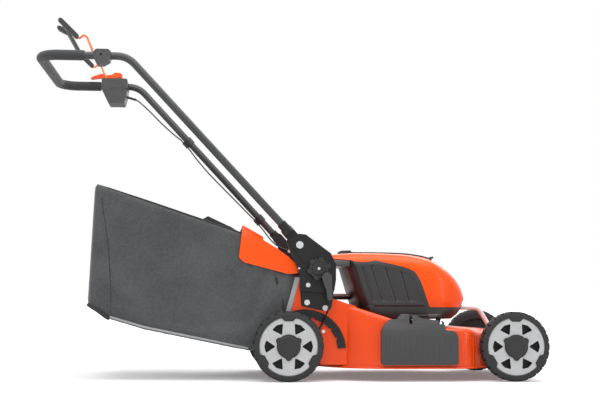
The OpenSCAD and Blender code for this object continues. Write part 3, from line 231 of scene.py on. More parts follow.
grip_foam, shader = new_material("nitrile_foam", "#2f3031", Roughness=0.85, IOR=1.5,
                                 Sheen_Weight=0.15, Sheen_Roughness=0.5)
where = place_in_metres(grip_foam)
pores = add_node(grip_foam, "ShaderNodeTexVoronoi", {"Vector": where}, Scale=900.0)
shift(grip_foam, shader, pores.outputs["Distance"], "#292a2b", "#37383a")
relief(grip_foam, shader, pores.outputs["Distance"], 0.0002)

cable_sheath, shader = new_material("pvc_cable_sheath", "#232324", Roughness=0.4, IOR=1.53)
where = place_in_metres(cable_sheath)
ripple = add_node(cable_sheath, "ShaderNodeTexNoise", {"Vector": where}, Scale=300.0, Detail=2.0)
relief(cable_sheath, shader, ripple.outputs["Fac"], 0.00006)

# %% [markdown]
# Bare metal shows in three places. Bolts and rods are zinc plated: pale, a little cloudy, from the
# crystals of the plating. The blade is ground spring steel, with scratches along the grinding. The
# motor's can is a die casting. All three keep the default IOR and take their look from roughness.
# The bail's wire is steel too, but it is dipped in orange nylon, which sets with shallow lumps.

# %% Metals
def metal(name, colour, roughness, cloud, low, high):
    """Bare metal with a cloudy or stretched pattern in its roughness."""
    material, shader = new_material(name, colour, Metallic=1.0, Roughness=roughness)
    where = place_in_metres(material)
    mapping = add_node(material, "ShaderNodeMapping", {"Vector": where})
    mapping.inputs["Scale"].default_value = cloud
    noise = add_node(material, "ShaderNodeTexNoise", {"Vector": mapping.outputs["Vector"]},
                     Scale=1.0, Detail=4.0)
    vary(material, shader, noise.outputs["Fac"], low, high)
    relief(material, shader, noise.outputs["Fac"], 0.00003)
    return material


zinc_plate = metal("zinc_plated_steel", "#cfd0d2", 0.3, (300, 300, 300), 0.22, 0.42)
ground_steel = metal("ground_spring_steel", "#8d9093", 0.35, (60, 1500, 300), 0.25, 0.5)
die_cast = metal("die_cast_aluminium", "#5d5f61", 0.5, (700, 700, 700), 0.4, 0.65)
wire_coat, shader = new_material("nylon_dipped_wire_orange", "#f0702a", Roughness=0.35, IOR=1.53)
where = place_in_metres(wire_coat)
lumps = add_node(wire_coat, "ShaderNodeTexNoise", {"Vector": where}, Scale=150.0, Detail=1.0)
shift(wire_coat, shader, lumps.outputs["Fac"], "#e8641f", "#f47a33")
relief(wire_coat, shader, lumps.outputs["Fac"], 0.0002)

# %% [markdown]
# Now each CAD node gets the material of the part it stands for. A node can carry more than one of
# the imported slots, so every slot of its object is filled.

# %% Dress the CAD nodes
FINISH = {
    orange_enamel: ["deck_shell", "rear_housing"],
    black_enamel: ["bracket_right", "bracket_left", "height_quadrant", "axle_brackets", "cover_hinge",
                   "rear_axle", "height_lever", "front_axle", "height_link", "handle_ends"],
    tube_enamel: ["handle_tube"],
    orange_abs: ["hood_top", "rear_flap", "start_lever"],
    hood_nylon: ["hood_base", "vent_panels", "battery_lid"],
    dark_nylon: ["side_cover", "lever_grip", "bail_housing",
                 "control_box", "control_box_base"],
    black_nylon: ["battery_pack", "cable_clips", "bail_grip", "knob_right", "knob_left", "bag_handle"],
    pale_nylon: ["carry_handle"],
    frame_nylon: ["bag_frame"],
    grip_foam: ["foam_grip"],
    cable_sheath: ["upper_cable", "lower_cable"],
    zinc_plate: ["flap_rod", "deck_bolts", "motor_shaft", "blade_bolt", "pivot_bolts"],
    ground_steel: ["blade"],
    die_cast: ["motor_housing", "blade_adapter"],
    wire_coat: ["bail_wire"],
}
for wheel in ("rear_right", "rear_left", "front_right", "front_left"):
    FINISH.setdefault(tyre_rubber, []).append("tyre_" + wheel)
    FINISH.setdefault(cap_silver, []).append("hubcap_" + wheel)
    FINISH[black_nylon].append("centre_cap_" + wheel)


def wear(piece, material):
    """Puts one material on every slot of a piece."""
    if not piece.data.materials:
        piece.data.materials.append(material)
    for slot in piece.material_slots:
        slot.material = material


for material, names in FINISH.items():
    for name in names:
        wear(frame["nodes"][name], material)
bare = sorted(set(frame["nodes"]) - {n for names in FINISH.values() for n in names})
print("nodes still bare:", bare)

# %% [markdown]
# Many pieces below are surfaces that run through a row of closed outlines, as a boat's planking
# runs over its frames. One helper lays them: it takes the outlines, joins each to the next with
# quads, and can close either end. All measures are in millimetres and count along the mower from
# its rear axle, as the CAD source does, so the helper that makes a mesh moves it to the frame's
# origin. Flat-sided solids go from one outline to a second one with the same points.

# %% Mesh helpers
rear_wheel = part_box("tyre_rear_right")
REAR_AXLE = (rear_wheel[0].x + rear_wheel[1].x) / 2 / MM


def piece_of(name, points, faces, material, smooth=True):
    """A mesh object from points in mm, counted from the rear axle."""
    mesh = bpy.data.meshes.new(name)
    mesh.from_pydata([((x + REAR_AXLE) * MM, y * MM, z * MM) for x, y, z in points], [], faces)
    mesh.validate()
    mesh.polygons.foreach_set("use_smooth", [smooth] * len(mesh.polygons))
    mesh.materials.append(material)
    piece = bpy.data.objects.new(name, mesh)
    bpy.context.scene.collection.objects.link(piece)
    return piece


def planked(rings, caps=(True, True)):
    """Points and faces of a surface through rings of equal counts of points."""
    count = len(rings[0])
    points = [p for ring in rings for p in ring]
    faces = []
    for start in range(0, (len(rings) - 1) * count, count):
        for i in range(count):
            after = (i + 1) % count
            faces.append((start + i, start + after, start + count + after, start + count + i))
    if caps[0]:
        faces.append(tuple(range(count - 1, -1, -1)))
    if caps[1]:
        faces.append(tuple((len(rings) - 1) * count + i for i in range(count)))
    return points, faces


def apply_modifiers(piece):
    """Makes the piece's modifiers part of its mesh."""
    evaluated = piece.evaluated_get(bpy.context.evaluated_depsgraph_get())
    mesh = bpy.data.meshes.new_from_object(evaluated)
    piece.modifiers.clear()
    old, piece.data = piece.data, mesh
    bpy.data.meshes.remove(old)
    return piece


def circle(u, v, r, count=24):
    """Points evenly round a circle, as pairs."""
    turns = [math.tau * i / count for i in range(count)]
    return [(u + r * math.cos(a), v + r * math.sin(a)) for a in turns]


def repair(piece):
    """Makes the faces of a closed mesh all point outward."""
    shape = bmesh.new()
    shape.from_mesh(piece.data)
    bmesh.ops.recalc_face_normals(shape, faces=shape.faces)
    shape.to_mesh(piece.data)
    shape.free()


def hull(name, rings, material):
    """A closed solid through rings of points."""
    piece = piece_of(name, *planked(rings), material)
    repair(piece)
    return piece


def extruded(name, low, high, material):
    """A flat-sided solid between two outlines of the same points."""
    n = len(low)
    faces = [tuple(range(n)), tuple(range(2 * n - 1, n - 1, -1))]
    faces += [(i, n + i, n + (i + 1) % n, (i + 1) % n) for i in range(n)]
    piece = piece_of(name, [*low, *high], faces, material, smooth=False)
    repair(piece)
    return piece


def paint(piece, material):
    """Gives a piece this material in place of those it has."""
    piece.data.materials.clear()
    piece.data.materials.append(material)


def dress(piece, body, node=None):
    """Says which body the piece rides on, and hides the CAD node it replaces."""
    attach(piece, body)
    if node:
        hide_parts(node)
    return piece


print("rear axle at x =", round(REAR_AXLE, 2), "mm")

# %% [markdown]
# One control cable leaves a gland under the switch box, follows the left tube through two clips,
# and turns down over the fold to the deck. It is laid in two lengths, one on the handle and one on
# the deck, that meet beside the fold: a stranded wire in a PVC sheath, too stiff to bend sharply.
# A smooth line is drawn through the points of the route, and its tangent at each point is kept
# short, so that it cannot swing wide of them.

# %% Control cable
CABLE_D = 4.6
CABLE = {
    "upper_cable": ("handle", [
        (-474, 222, 884), (-464, 222.5, 878), (-430, 225, 848), (-390, 226, 808), (-350, 226, 772),
        (-326.3, 226, 753.9), (-319.5, 226, 746.6), (-300.4, 226, 726.1), (-276, 226, 694),
        (-243, 225, 655), (-211, 225, 621), (-178, 225, 588), (-146, 225, 556), (-112, 226, 522),
        (-83.5, 226, 493.6), (-64.4, 226, 473.1), (-47, 221, 451), (-30, 212, 428), (-12, 206, 410),
        (8, 205, 399), (27, 204.5, 392)]),
    "lower_cable": ("deck", [
        (39, 204.5, 386), (52, 203, 368), (62, 201, 338), (74, 194, 300), (84, 188, 276),
        (96, 182, 262), (108, 176, 253.5), (120, 168, 246.5), (132, 158, 242.5), (150, 142, 242),
        (180, 116, 241.5), (214, 88, 241)]),
}


def eased(route, steps=5):
    """The route in metres, with a smooth curve of short steps between its points."""
    at = [Vector((x + REAR_AXLE, y, z)) * MM for x, y, z in route]
    last = len(at) - 1
    tangents = []
    for i, p in enumerate(at):
        before, after = at[max(i - 1, 0)], at[min(i + 1, last)]
        reach = min((p - q).length for q in (before, after) if q != p)
        tangents.append((after - before).normalized() * reach)
    line = []
    for i in range(last):
        for k in range(steps):
            t = k / steps
            line.append(at[i] * (2 * t ** 3 - 3 * t ** 2 + 1) + tangents[i] * (t ** 3 - 2 * t ** 2 + t)
                        + at[i + 1] * (3 * t ** 2 - 2 * t ** 3) + tangents[i + 1] * (t ** 3 - t ** 2))
    return line + [at[-1]]


def sheathed(name, line, diameter, material):
    """A curve object: a round cable along the line."""
    curve = bpy.data.curves.new(name, "CURVE")
    curve.dimensions = "3D"
    curve.bevel_depth = diameter / 2 * MM
    curve.bevel_resolution = 3
    curve.use_fill_caps = True
    spline = curve.splines.new("POLY")
    spline.points.add(len(line) - 1)
    for point, place in zip(spline.points, line):
        point.co = (*place, 1)
    spline.use_smooth = True
    curve.materials.append(material)
    piece = bpy.data.objects.new(name, curve)
    bpy.context.scene.collection.objects.link(piece)
    return piece


for node, (body, route) in CABLE.items():
    line = eased(route)
    cable = sheathed(node + "_sheath", line, CABLE_D, cable_sheath)
    dress(cable, body, node)
    length = sum((q - p).length for p, q in zip(line, line[1:]))
    print(node, "is", round(length, 3), "m long")

GLAND_D = 8.0
gland_line = eased([(-505, 222, 893), (-474, 222, 884)], steps=1)
dress(sheathed("cable_gland", gland_line, GLAND_D, black_nylon), "handle")

# %% [markdown]
# The grass bag is woven polyester over a wire frame: air goes out through the weave and the
# clippings stay in. The threads are spun from fine fibres and cross at right angles, so the cloth
# is matt and a little mottled, with a soft sheen where the light grazes it. The real threads are
# about half a millimetre apart, which is too fine to see from here, so they are drawn as ridges
# 2.5 mm wide, with gaps as wide between them.

# %% Bag cloth
THREAD, TAPE_RIB = 2.5, 2.0
WAVE_TURNS = 20  # the wave node's own factor: it turns through 20 radians in one unit
bag_cloth, shader = new_material("woven_polyester", "#444546", Roughness=0.9, IOR=1.5,
                                 Sheen_Weight=0.25, Sheen_Roughness=0.45)
where = place_in_metres(bag_cloth)
threads = []
for axis in "XYZ":
    wave = add_node(bag_cloth, "ShaderNodeTexWave", {"Vector": where}, wave_type="BANDS",
                    bands_direction=axis, Scale=1000 / THREAD / WAVE_TURNS * math.pi, Distortion=1.2,
                    Detail=2.0, Detail_Scale=3.0)
    threads.append(wave.outputs["Fac"])
weave = add_node(bag_cloth, "ShaderNodeMath", {0: threads[0], 1: threads[1]}, operation="ADD")
weave = add_node(bag_cloth, "ShaderNodeMath", {0: weave.outputs[0], 1: threads[2]}, operation="ADD")
slubs = add_node(bag_cloth, "ShaderNodeTexNoise", {"Vector": where}, Scale=130.0, Detail=5.0, Roughness=0.7)
broad = add_node(bag_cloth, "ShaderNodeTexNoise", {"Vector": where}, Scale=7.0, Detail=2.0)
mottle = add_node(bag_cloth, "ShaderNodeMath", {0: slubs.outputs["Fac"], 1: broad.outputs["Fac"]},
                  operation="ADD")
spread = add_node(bag_cloth, "ShaderNodeMapRange", {"Value": mottle.outputs[0]}, From_Min=0.75, From_Max=1.3)
shift(bag_cloth, shader, spread.outputs["Result"], "#3b3c3d", "#505152")
relief(bag_cloth, shader, weave.outputs[0], 0.0003, 0.7)

binding_tape, shader = new_material("polyester_binding_tape", "#1d1d1e", Roughness=0.75, IOR=1.5,
                                    Sheen_Weight=0.2, Sheen_Roughness=0.4)
where = place_in_metres(binding_tape)
rib = add_node(binding_tape, "ShaderNodeTexWave", {"Vector": where}, bands_direction="DIAGONAL",
               Scale=1000 / TAPE_RIB / WAVE_TURNS * math.pi, Distortion=0.5)
relief(binding_tape, shader, rib.outputs["Fac"], 0.0002)

# %% [markdown]
# The bag hangs on its wires: its top runs up from the flap to the back's upper corner, the back
# drops almost plumb, and the floor rises too, but less, so that the bag is deepest near its back.
# It is laid out as outlines from the mouth to the back. Then it is simulated as cloth: its edges,
# where the wires run, are pinned, and the panels between them are free to slacken under their
# weight and the pressure of the air. A limit keeps each point within a few millimetres of where
# it was laid.

# %% Bag shape
MOUTH_X, MOUTH_LEAN = 11, 0.27
ROW_GAP, ARC_POINTS = 14, 7
BAG = [  # top point, bottom point, half width, corner radius
    ((MOUTH_X + MOUTH_LEAN * 97 - 15.7, 297), (MOUTH_X - MOUTH_LEAN * 103 - 15.7, 97), 191, 10),
    ((-60, 368), (-66, 92), 192, 14),
    ((-122, 421), (-112, 90), 193, 16),
    ((-250, 464), (-255, 119), 193, 18),
    ((-400, 514), (-408, 150), 193, 18),
    ((-522, 553), (-508, 180), 193, 14),
    ((-551, 562), (-562, 207), 184, 15),
    ((-557, 556), (-571, 217), 172, 18),
]


def between(a, b, t):
    """The point at the share t of the way from a to b."""
    return tuple(p + (q - p) * t for p, q in zip(a, b))


def bag_outline(top, low, half, corner, sides=28):
    """A rounded rectangle from a top to a bottom point, and which of its points lie in a corner."""
    up = (Vector((top[0], 0, top[1])) - Vector((low[0], 0, low[1])))
    tall = up.length
    up.normalize()
    path = []
    for centre_y, centre_v, start in ((half - corner, corner, -90), (half - corner, tall - corner, 0),
                                      (corner - half, tall - corner, 90), (corner - half, corner, 180)):
        for k in range(ARC_POINTS):
            a = math.radians(start + 15 * k)
            path.append((centre_y + corner * math.cos(a), centre_v + corner * math.sin(a)))
        here = path[-1]
        ahead = {-90: (half, tall - corner), 0: (corner - half, tall),
                 90: (-half, corner), 180: (half - corner, 0)}[start]
        for k in range(1, sides):
            path.append(tuple(p + (q - p) * k / sides for p, q in zip(here, ahead)))
    in_corner = [i % (ARC_POINTS + sides - 1) < ARC_POINTS for i in range(len(path))]
    return [(low[0] + up.x * v, y, low[1] + up.z * v) for y, v in path], in_corner


# The wires hold the corners, the first rows at the mouth and the last ones, which turn to the back.
rows, wired = [], []
for j in range(len(BAG) - 1):
    a, b = BAG[j], BAG[j + 1]
    length = math.dist(a[0], b[0]) + math.dist(a[1], b[1])
    steps = max(2, round(length / 2 / ROW_GAP))
    for k in range(steps if j < len(BAG) - 2 else steps + 1):
        t = k / steps
        ring, corner = bag_outline(between(a[0], b[0], t), between(a[1], b[1], t),
                                   a[2] + (b[2] - a[2]) * t, a[3] + (b[3] - a[3]) * t)
        rows.append(ring)
        wired.append([c or (j == 0 and k < 2) or j >= len(BAG) - 3 and (j > len(BAG) - 3 or k > steps - 2)
                      for c in corner])
back = rows[-1]
middle = [sum(c) / len(back) for c in zip(*back)]
for shrink in (0.9, 0.75, 0.6, 0.45, 0.3, 0.15):
    rows.append([tuple(m + (p - m) * shrink for p, m in zip(point, middle)) for point in back])
    wired.append([False] * len(back))
points, faces = planked(rows, caps=(False, True))
bag = piece_of("grass_bag", points, faces, bag_cloth)
pins = bag.vertex_groups.new(name="wires")
pins.add([i for i, pin in enumerate(p for row in wired for p in row) if pin], 1.0, "REPLACE")
print("bag:", len(points), "points,", sum(p for row in wired for p in row), "held by the wires")

# %% Let the panels slacken
LIMIT = 5.0
CLOTH_THICK = 0.0016  # metres


def slacken(piece, pins, pressure, frames=14):
    """Runs Blender's cloth on the piece, and keeps each point within LIMIT mm of where it was."""
    before = [v.co.copy() for v in piece.data.vertices]
    cloth = piece.modifiers.new("cloth", "CLOTH")
    cloth.settings.vertex_group_mass = pins
    cloth.settings.mass = 0.2
    cloth.settings.tension_stiffness = cloth.settings.compression_stiffness = 12
    cloth.settings.bending_stiffness = 0.8
    cloth.settings.use_pressure = True
    cloth.settings.uniform_pressure_force = pressure
    cloth.settings.shrink_min = -0.02
    cloth.collision_settings.use_collision = False
    for frame_number in range(1, frames + 1):
        bpy.context.scene.frame_set(frame_number)
    apply_modifiers(piece)
    bpy.context.scene.frame_set(1)
    far = 0
    for vertex, old in zip(piece.data.vertices, before):
        move = vertex.co - old
        far = max(far, move.length / MM)
        if move.length > LIMIT * MM:
            vertex.co = old + move.normalized() * LIMIT * MM
    return far


print("cloth moved up to", round(slacken(bag, "wires", 0.6), 1), "mm before the limit")
bag.data.polygons.foreach_set("use_smooth", [True] * len(bag.data.polygons))
thick = bag.modifiers.new("cloth thickness", "SOLIDIFY")
thick.thickness = CLOTH_THICK
thick.offset = -1
dress(bag, "bag", "bag_fabric")

# %% [markdown]
# The deck is one deep-drawn steel pressing: a tall skirt round the blade, a shoulder, a nearly flat
# top that climbs to the back right where the clippings leave, and a shallow nose in front that
# carries the axle. A press can't make sharp corners, so all its edges are soft. The outlines below
# follow the source's own formulas, in finer steps, and a skin is laid through them.

# %% Deck outlines
BLADE_X, CHAMBER_R, NOSE_REACH, NOSE_HALF = 320, 240, 407, 190
DECK_TOP, RAMP_TOP, PLATEAU, SKIRT = 152, 236, 164, 36
SHOULDER_R, DECK_SIDES = 16, 240


def ease(t):
    """A smooth step from 0 to 1 as t goes from 0 to 1."""
    s = min(1, max(0, t))
    return s * s * (3 - 2 * s)


def deck_edge(a, inset):
    """Distance from the blade's axis to the deck's outline in the direction a."""
    c, s = math.cos(a), math.sin(a)
    n = 2.2 if c < 0 else 8 if s < 0 else 2.9
    chamber = (CHAMBER_R - inset) / (abs(c) ** n + abs(s) ** n) ** (1 / n)
    nose = 0
    if c > 0.01:
        nose = ((c / (NOSE_REACH - inset)) ** 8 + (abs(s) / (NOSE_HALF - inset)) ** 8) ** (-1 / 8)
    return (chamber ** 14 + nose ** 14) ** (1 / 14)


def top_at(x, y):
    """Height of the deck's top: a ramp climbs at the back right, and the front lies a little lower."""
    return (DECK_TOP + (RAMP_TOP - DECK_TOP) * max(0, min(1, (60 - x) / 260)) * ease((190 - y) / 110)
            - 14 * ease((x - 200) / 60))


def deck_outline(inset, drop=None, level=None):
    """The deck's outline pulled in, at one level or at a drop below the deck's top."""
    ring = []
    for i in range(DECK_SIDES):
        a = math.tau * i / DECK_SIDES
        d = deck_edge(a, inset)
        x, y = d * math.cos(a), d * math.sin(a)
        ring.append((BLADE_X + x, y, level if level is not None else top_at(x, y) - drop))
    return ring


def plateau_outline(r, z):
    """A level circle round the blade's axis, with as many points as the deck's outline."""
    return [(x, y, z) for x, y in circle(BLADE_X, 0, r, DECK_SIDES)]


def blended(a, b, t):
    """The outline at the share t of the way from one outline to another."""
    return [between(p, q, t) for p, q in zip(a, b)]


def deck_form(t, low):
    """The deck's surface pulled in by t mm, from its lower edge to its flat middle."""
    rings = [deck_outline(t, level=low), deck_outline(t + 0.3, level=low + 30 if t == 0 else low + 50)]
    foot = deck_outline(t + 2, drop=SHOULDER_R + t)
    rings.append(blended(rings[-1], foot, 0.55))
    for k in range(9):  # the shoulder, a quarter round
        a = math.radians(90 * k / 8)
        inset = t + 2 + SHOULDER_R * (1 - math.cos(a))
        rings.append(deck_outline(inset, drop=SHOULDER_R * (1 - math.sin(a)) + t))
    inner = plateau_outline(135, PLATEAU - 6 - t)
    rings += [blended(rings[-1], inner, k / 6) for k in range(1, 6)]
    rings += [inner, plateau_outline(115, PLATEAU - 1.5 - t), plateau_outline(95, PLATEAU - t)]
    return rings


BOX_FACES = [(0, 2, 3, 1), (4, 5, 7, 6), (0, 1, 5, 4), (2, 6, 7, 3), (0, 4, 6, 2), (1, 3, 7, 5)]


def cutter(name, box):
    """A box between two corners in mm, for cutting or as a blank that is softened later."""
    (x0, y0, z0), (x1, y1, z1) = box
    corners = [(x, y, z) for z in (z0, z1) for y in (y0, y1) for x in (x0, x1)]
    return piece_of(name, corners, BOX_FACES, orange_enamel, smooth=False)


def prism(name, outline, y0, y1):
    """A solid with one outline in the x-z plane, between two places across the mower."""
    ends = [[(x, y, z) for x, z in outline] for y in (y0, y1)]
    return extruded(name, *ends, orange_enamel)


def drum(name, x, y, z0, z1, r, sides=96):
    """An upright cylinder."""
    rings = [[(u, v, z) for u, v in circle(x, y, r, sides)] for z in (z0, z1)]
    return piece_of(name, *planked(rings), orange_enamel, smooth=False)


def carve(piece, how, *tools):
    """Cuts the piece with other solids, which are used up."""
    for tool in tools:
        cut = piece.modifiers.new(how.lower(), "BOOLEAN")
        cut.operation, cut.object, cut.solver = how, tool, "EXACT"
    bpy.context.view_layer.update()
    apply_modifiers(piece)
    for tool in tools:
        bpy.data.objects.remove(tool)
    return piece


def soften_edges(piece, angle=35, width=0.0):
    """Smooth shading that stops at edges sharper than the angle, and a small round on those edges."""
    if width:
        round_off = piece.modifiers.new("edge round", "BEVEL")
        round_off.width = width * MM
        round_off.segments = 2
        round_off.limit_method = "ANGLE"
        round_off.angle_limit = math.radians(angle)
        round_off.harden_normals = False
        apply_modifiers(piece)
    piece.data.polygons.foreach_set("use_smooth", [True] * len(piece.data.polygons))
    piece.data.set_sharp_from_angle(angle=math.radians(angle))
    return piece


# %% Deck pressing
SHEET, HEM_R = 2.5, 3
deck = hull("deck_pressing", deck_form(0, SKIRT), orange_enamel)
hollow = hull("hollow", deck_form(SHEET, SKIRT - 20), orange_enamel)
tunnel = prism("tunnel", [(-60, 97), (200, 97), (200, 194), (125, 220), (-60, 220)], -194.5, 194.5)
outlet = cutter("outlet", ((290, -300, 60), (460, -150, 140)))
motor_hole = drum("motor_hole", BLADE_X, 0, 120, 200, 44)
carve(deck, "DIFFERENCE", hollow, tunnel, outlet, motor_hole)
bends = [math.radians(a) for a in range(0, 181, 30)]
hem_rings = [deck_outline(-HEM_R - HEM_R * math.sin(a), level=SKIRT + HEM_R - HEM_R * math.cos(a))
             for a in bends]
hem_rings += [deck_outline(0.5, level=level) for level in (SKIRT + 2 * HEM_R, SKIRT)]
points, faces = planked(hem_rings + [hem_rings[0]], caps=(False, False))
hem = piece_of("deck_hem", points, faces, orange_enamel)
soften_edges(deck, 40)
dress(deck, "deck", "deck_shell")
dress(hem, "deck")
print("deck:", len(deck.data.polygons), "faces")

# %% [markdown]
# The hood has two mouldings: a glossy orange shell, and a dark body under it with the vents. Both
# follow one streamlined form, so that form comes first: a crown line from the side, a rounded plan,
# a cross-section with soft shoulders, an undercut chin in front and a leaning back wall behind.

# %% Hood form
HOOD_HALF, HOOD_BEND, HOOD_FRONT, HOOD_FOOT = 150, 380, 177, 140
PLAN_POWER = 2.6  # 2 would make the plan's front an ellipse; more makes it squarer
TAIL_R = 42
CROWN = [(86, 361), (106, 366), (158, 370.5), (209, 373.6), (250, 374), (301, 374), (350, 373.6),
         (380, 372), (410, 368.8), (436, 364.5), (455, 356.5), (475, 345.5), (495, 331.5), (513, 316),
         (528, 298), (541, 278), (550, 262), (557, 247), (560, 240)]
CAMBER = [(106, 2), (209, 2.5), (301, 4), (380, 8), (436, 14), (475, 18), (560, 18)]
CHIN = [(100, 470), (176, 515), (196, 541), (232, 553.5), (247, 557), (262, 600), (420, 640)]
CHIN_LEVELS = (100, 150, 176, 184, 190, 196, 204, 212, 220, 228, 236, 242, 247, 262, 420)
FRONT_ANGLES = (*range(5, 61, 5), 65, 69, 73, 77, 80, 83, 85.5)


def read(table, x, soft=False):
    """The table's value at x; soft rounds the corners of its line."""
    if soft:
        return sum(0.2 * read(table, x + d) for d in (-9, -4.5, 0, 4.5, 9))
    if x <= table[0][0]:
        return table[0][1]
    for (a, u), (b, v) in zip(table, table[1:]):
        if x <= b:
            return u + (v - u) * (x - a) / (b - a)
    return table[-1][1]


def back_wall(z, t):
    """Where the leaning wall behind the hood stands at height z, pulled in by t mm."""
    return 216 - 0.3 * (z - 224) + t


def hood_section(x, t):
    """Half width, shoulder radius, shoulder height, camber, flat half and crown height at x."""
    s = max(0, x - HOOD_BEND) / (HOOD_FRONT - t)
    w = (HOOD_HALF - t) * max(0, 1 - s ** PLAN_POWER) ** (1 / PLAN_POWER)
    z = read(CROWN, x, x < 540) - t
    c, h = min(44, w * 0.6 + 0.5), min(40, (z - HOOD_FOOT) * 0.45)
    k = read(CAMBER, x) * min(1, w / HOOD_HALF)
    return w, c, h, k, w - c - 2, z


def hood_outline(x, t):
    """The hood's cross-section at x, pulled in by t mm."""
    w, c, h, k, flat, z = hood_section(x, t)
    knee = z - h - k
    right = [(x, w, HOOD_FOOT), (x, w - 0.7, knee - (knee - HOOD_FOOT) * 0.35)]
    for i in range(13):
        a = math.radians(7.5 * i)
        right.append((x, flat + c * math.cos(a), knee + h * math.sin(a)))
    right += [(x, flat * u, z - k * u * u) for u in (0.85, 0.7, 0.55, 0.4, 0.25, 0.1)]
    return right + [(x, 0, z)] + [(px, -py, pz) for px, py, pz in reversed(right)]


def chin_rings(t):
    """Plan outlines of the hood's undercut front, pulled in by t mm."""
    half, power = HOOD_HALF + 6 - t, 2 / PLAN_POWER
    rings = []
    for z in CHIN_LEVELS:
        out = read(CHIN, z, 180 < z < 244) - HOOD_BEND - t
        ring = [(40, -half, z)]
        for a in (math.radians(a) for a in range(-90, 91, 5)):
            across = math.copysign(abs(math.sin(a)) ** power, a)
            ring.append((HOOD_BEND + out * abs(math.cos(a)) ** power, half * across, z))
        rings.append(ring + [(40, half, z)])
    return rings


def tail_rings(t):
    """Plan outlines that end in the leaning back wall with its round corners, pulled in by t mm."""
    half, rings = HOOD_HALF + 3 - t, []
    for z in (100, 420):
        centre_x, centre_y = back_wall(z, t) + TAIL_R, half - TAIL_R
        left = [(700, half, z)]
        for a in (math.radians(a) for a in range(90, 181, 6)):
            left.append((centre_x + TAIL_R * math.cos(a), centre_y + TAIL_R * math.sin(a), z))
        rings.append(left + [(x, -y, z) for x, y, _ in reversed(left)])
    return rings


def hood_form(name, t, tail=False):
    """A solid inside the hood's surface pulled in by t mm; tail gives it the back wall."""
    reach = HOOD_FRONT - max(t, 0)
    stations = [86 if t > 0 else 106] + list(range(120, HOOD_BEND + 1, 10))
    stations += [HOOD_BEND + reach * math.sin(math.radians(a)) for a in FRONT_ANGLES]
    form = hull(name, [hood_outline(x, t) for x in stations], orange_abs)
    tools = [hull("chin", chin_rings(max(t, 0)), orange_abs)]
    if tail:
        tools.append(hull("tail", tail_rings(t), orange_abs))
    return carve(form, "INTERSECT", *tools)


def flank(x, z, t):
    """Distance from the middle to the hood's side at (x, z), pulled in by t mm."""
    w, c, h, k, flat, top = hood_section(x, t)
    knee = top - h - k
    if z < knee:
        y = w - 2 * (z - HOOD_FOOT) / (knee - HOOD_FOOT)
    else:
        y = flat + c * math.sqrt(max(0, 1 - ((z - knee) / h) ** 2))
    past = back_wall(z, t) + TAIL_R - x
    if past > 0:
        y = min(y, HOOD_HALF + 3 - t - TAIL_R + math.sqrt(max(0, TAIL_R ** 2 - past ** 2)))
    return y


def between_sides(outline, half=200):
    """A solid that keeps or cuts all within an outline in the x-z plane, right across the mower."""
    return prism("region", outline, -half, half)


# %% [markdown]
# The orange shell is cut from the form, 3 mm thick: its lower edge runs along the vents and then
# drops steeply down to the chin. The lid's opening is cut in its roof. A small round on each edge
# catches the light, as every moulded edge does.

# %% Orange shell
BAND = [(60, 356), (150, 352), (188, 349), (206, 345), (220, 343.6), (233, 343.5), (248, 345.5),
        (256, 347.6), (264, 348.5), (275, 347), (291, 342.5), (315, 337.6), (338, 332), (354, 328),
        (366, 323.5), (381, 316), (391, 303), (400, 286), (412, 253), (426, 211)]
shell = hood_form("hood_shell", 0)
bay = cutter("bay", ((184, -68, 300), (434, 68, 400)))
carve(shell, "INTERSECT", between_sides(BAND + [(537, 211), (556, 247), (620, 247), (620, 420), (60, 420)]))
carve(shell, "DIFFERENCE", hood_form("inside", 3), bay)
soften_edges(shell, 38, 0.7)
dress(shell, "deck", "hood_top")
print("orange shell:", len(shell.data.polygons), "faces")

# %% [markdown]
# The dark body carries the base, a thick border bead and, inside it, four vent blades that overlap
# like shingles: each starts low at its rear edge and ends proud at its front edge, where a dark
# seam lets the air out. The blades are grids of points laid on the hood's side and bent inward.

# %% Dark body
BASE = [(208, 217), (423.5, 217), (426, 210.8), (537.2, 210.8), (556.2, 246.8), (600, 246.8), (600, 176),
        (330, 176), (300, 179), (226, 205), (208, 211)]
BASE_ROOM = [(200, 400), (600, 400), (600, 179), (331, 179), (301, 182), (227, 208.5), (200, 217)]
base = hood_form("hood_base", 0.8, tail=True)
carve(base, "INTERSECT", between_sides(BASE))
inside = hood_form("inside", 3.8, tail=True)
carve(inside, "INTERSECT", between_sides(BASE_ROOM))
carve(base, "DIFFERENCE", inside)
paint(base, black_nylon)
soften_edges(base, 38, 1.2)
stand = drum("motor_stand", BLADE_X, 0, PLATEAU + 8.2, 179, 86)
paint(stand, black_nylon)
tray = cutter("battery_tray", ((224, -62, 243), (384, 62, 263)))
carve(tray, "DIFFERENCE", cutter("well", ((227, -59, 246), (381, 59, 300))))
paint(tray, hood_nylon)
for part in (stand, tray):
    dress(part, "deck")
dress(base, "deck", "hood_base")

# %% Border round the vents
FIELD = [(222, 331), (234, 331.6), (246, 332.5), (254, 334), (261, 336), (275, 333), (291, 328.5),
         (315, 323), (338, 317), (354, 311.5), (368, 306), (377, 299.5), (383, 291), (393, 263),
         (405, 225), (256, 225)]
BORDER_FOOT = 217.2
border = hood_form("hood_border", 0.2, tail=True)
edge = [(x, z - 0.3) for x, z in BAND[1:-1]] + [(424, BORDER_FOOT), (150, BORDER_FOOT)]
carve(border, "INTERSECT", between_sides(edge))
roof = hood_form("back_wall", 1.2, tail=True)
roof_box = between_sides([(150, BORDER_FOOT), (236, BORDER_FOOT), (236, 400), (150, 400)], 108)
carve(roof, "INTERSECT", roof_box, hood_form("under", 3.4))
carve(border, "UNION", roof)
carve(border, "DIFFERENCE", hood_form("inside", 4.6, tail=True), between_sides(FIELD),
      cutter("opening", ((240, -106, 200), (500, 106, 400))), drum("no_roof", 330, 0, 200, 420, 60))
paint(border, hood_nylon)
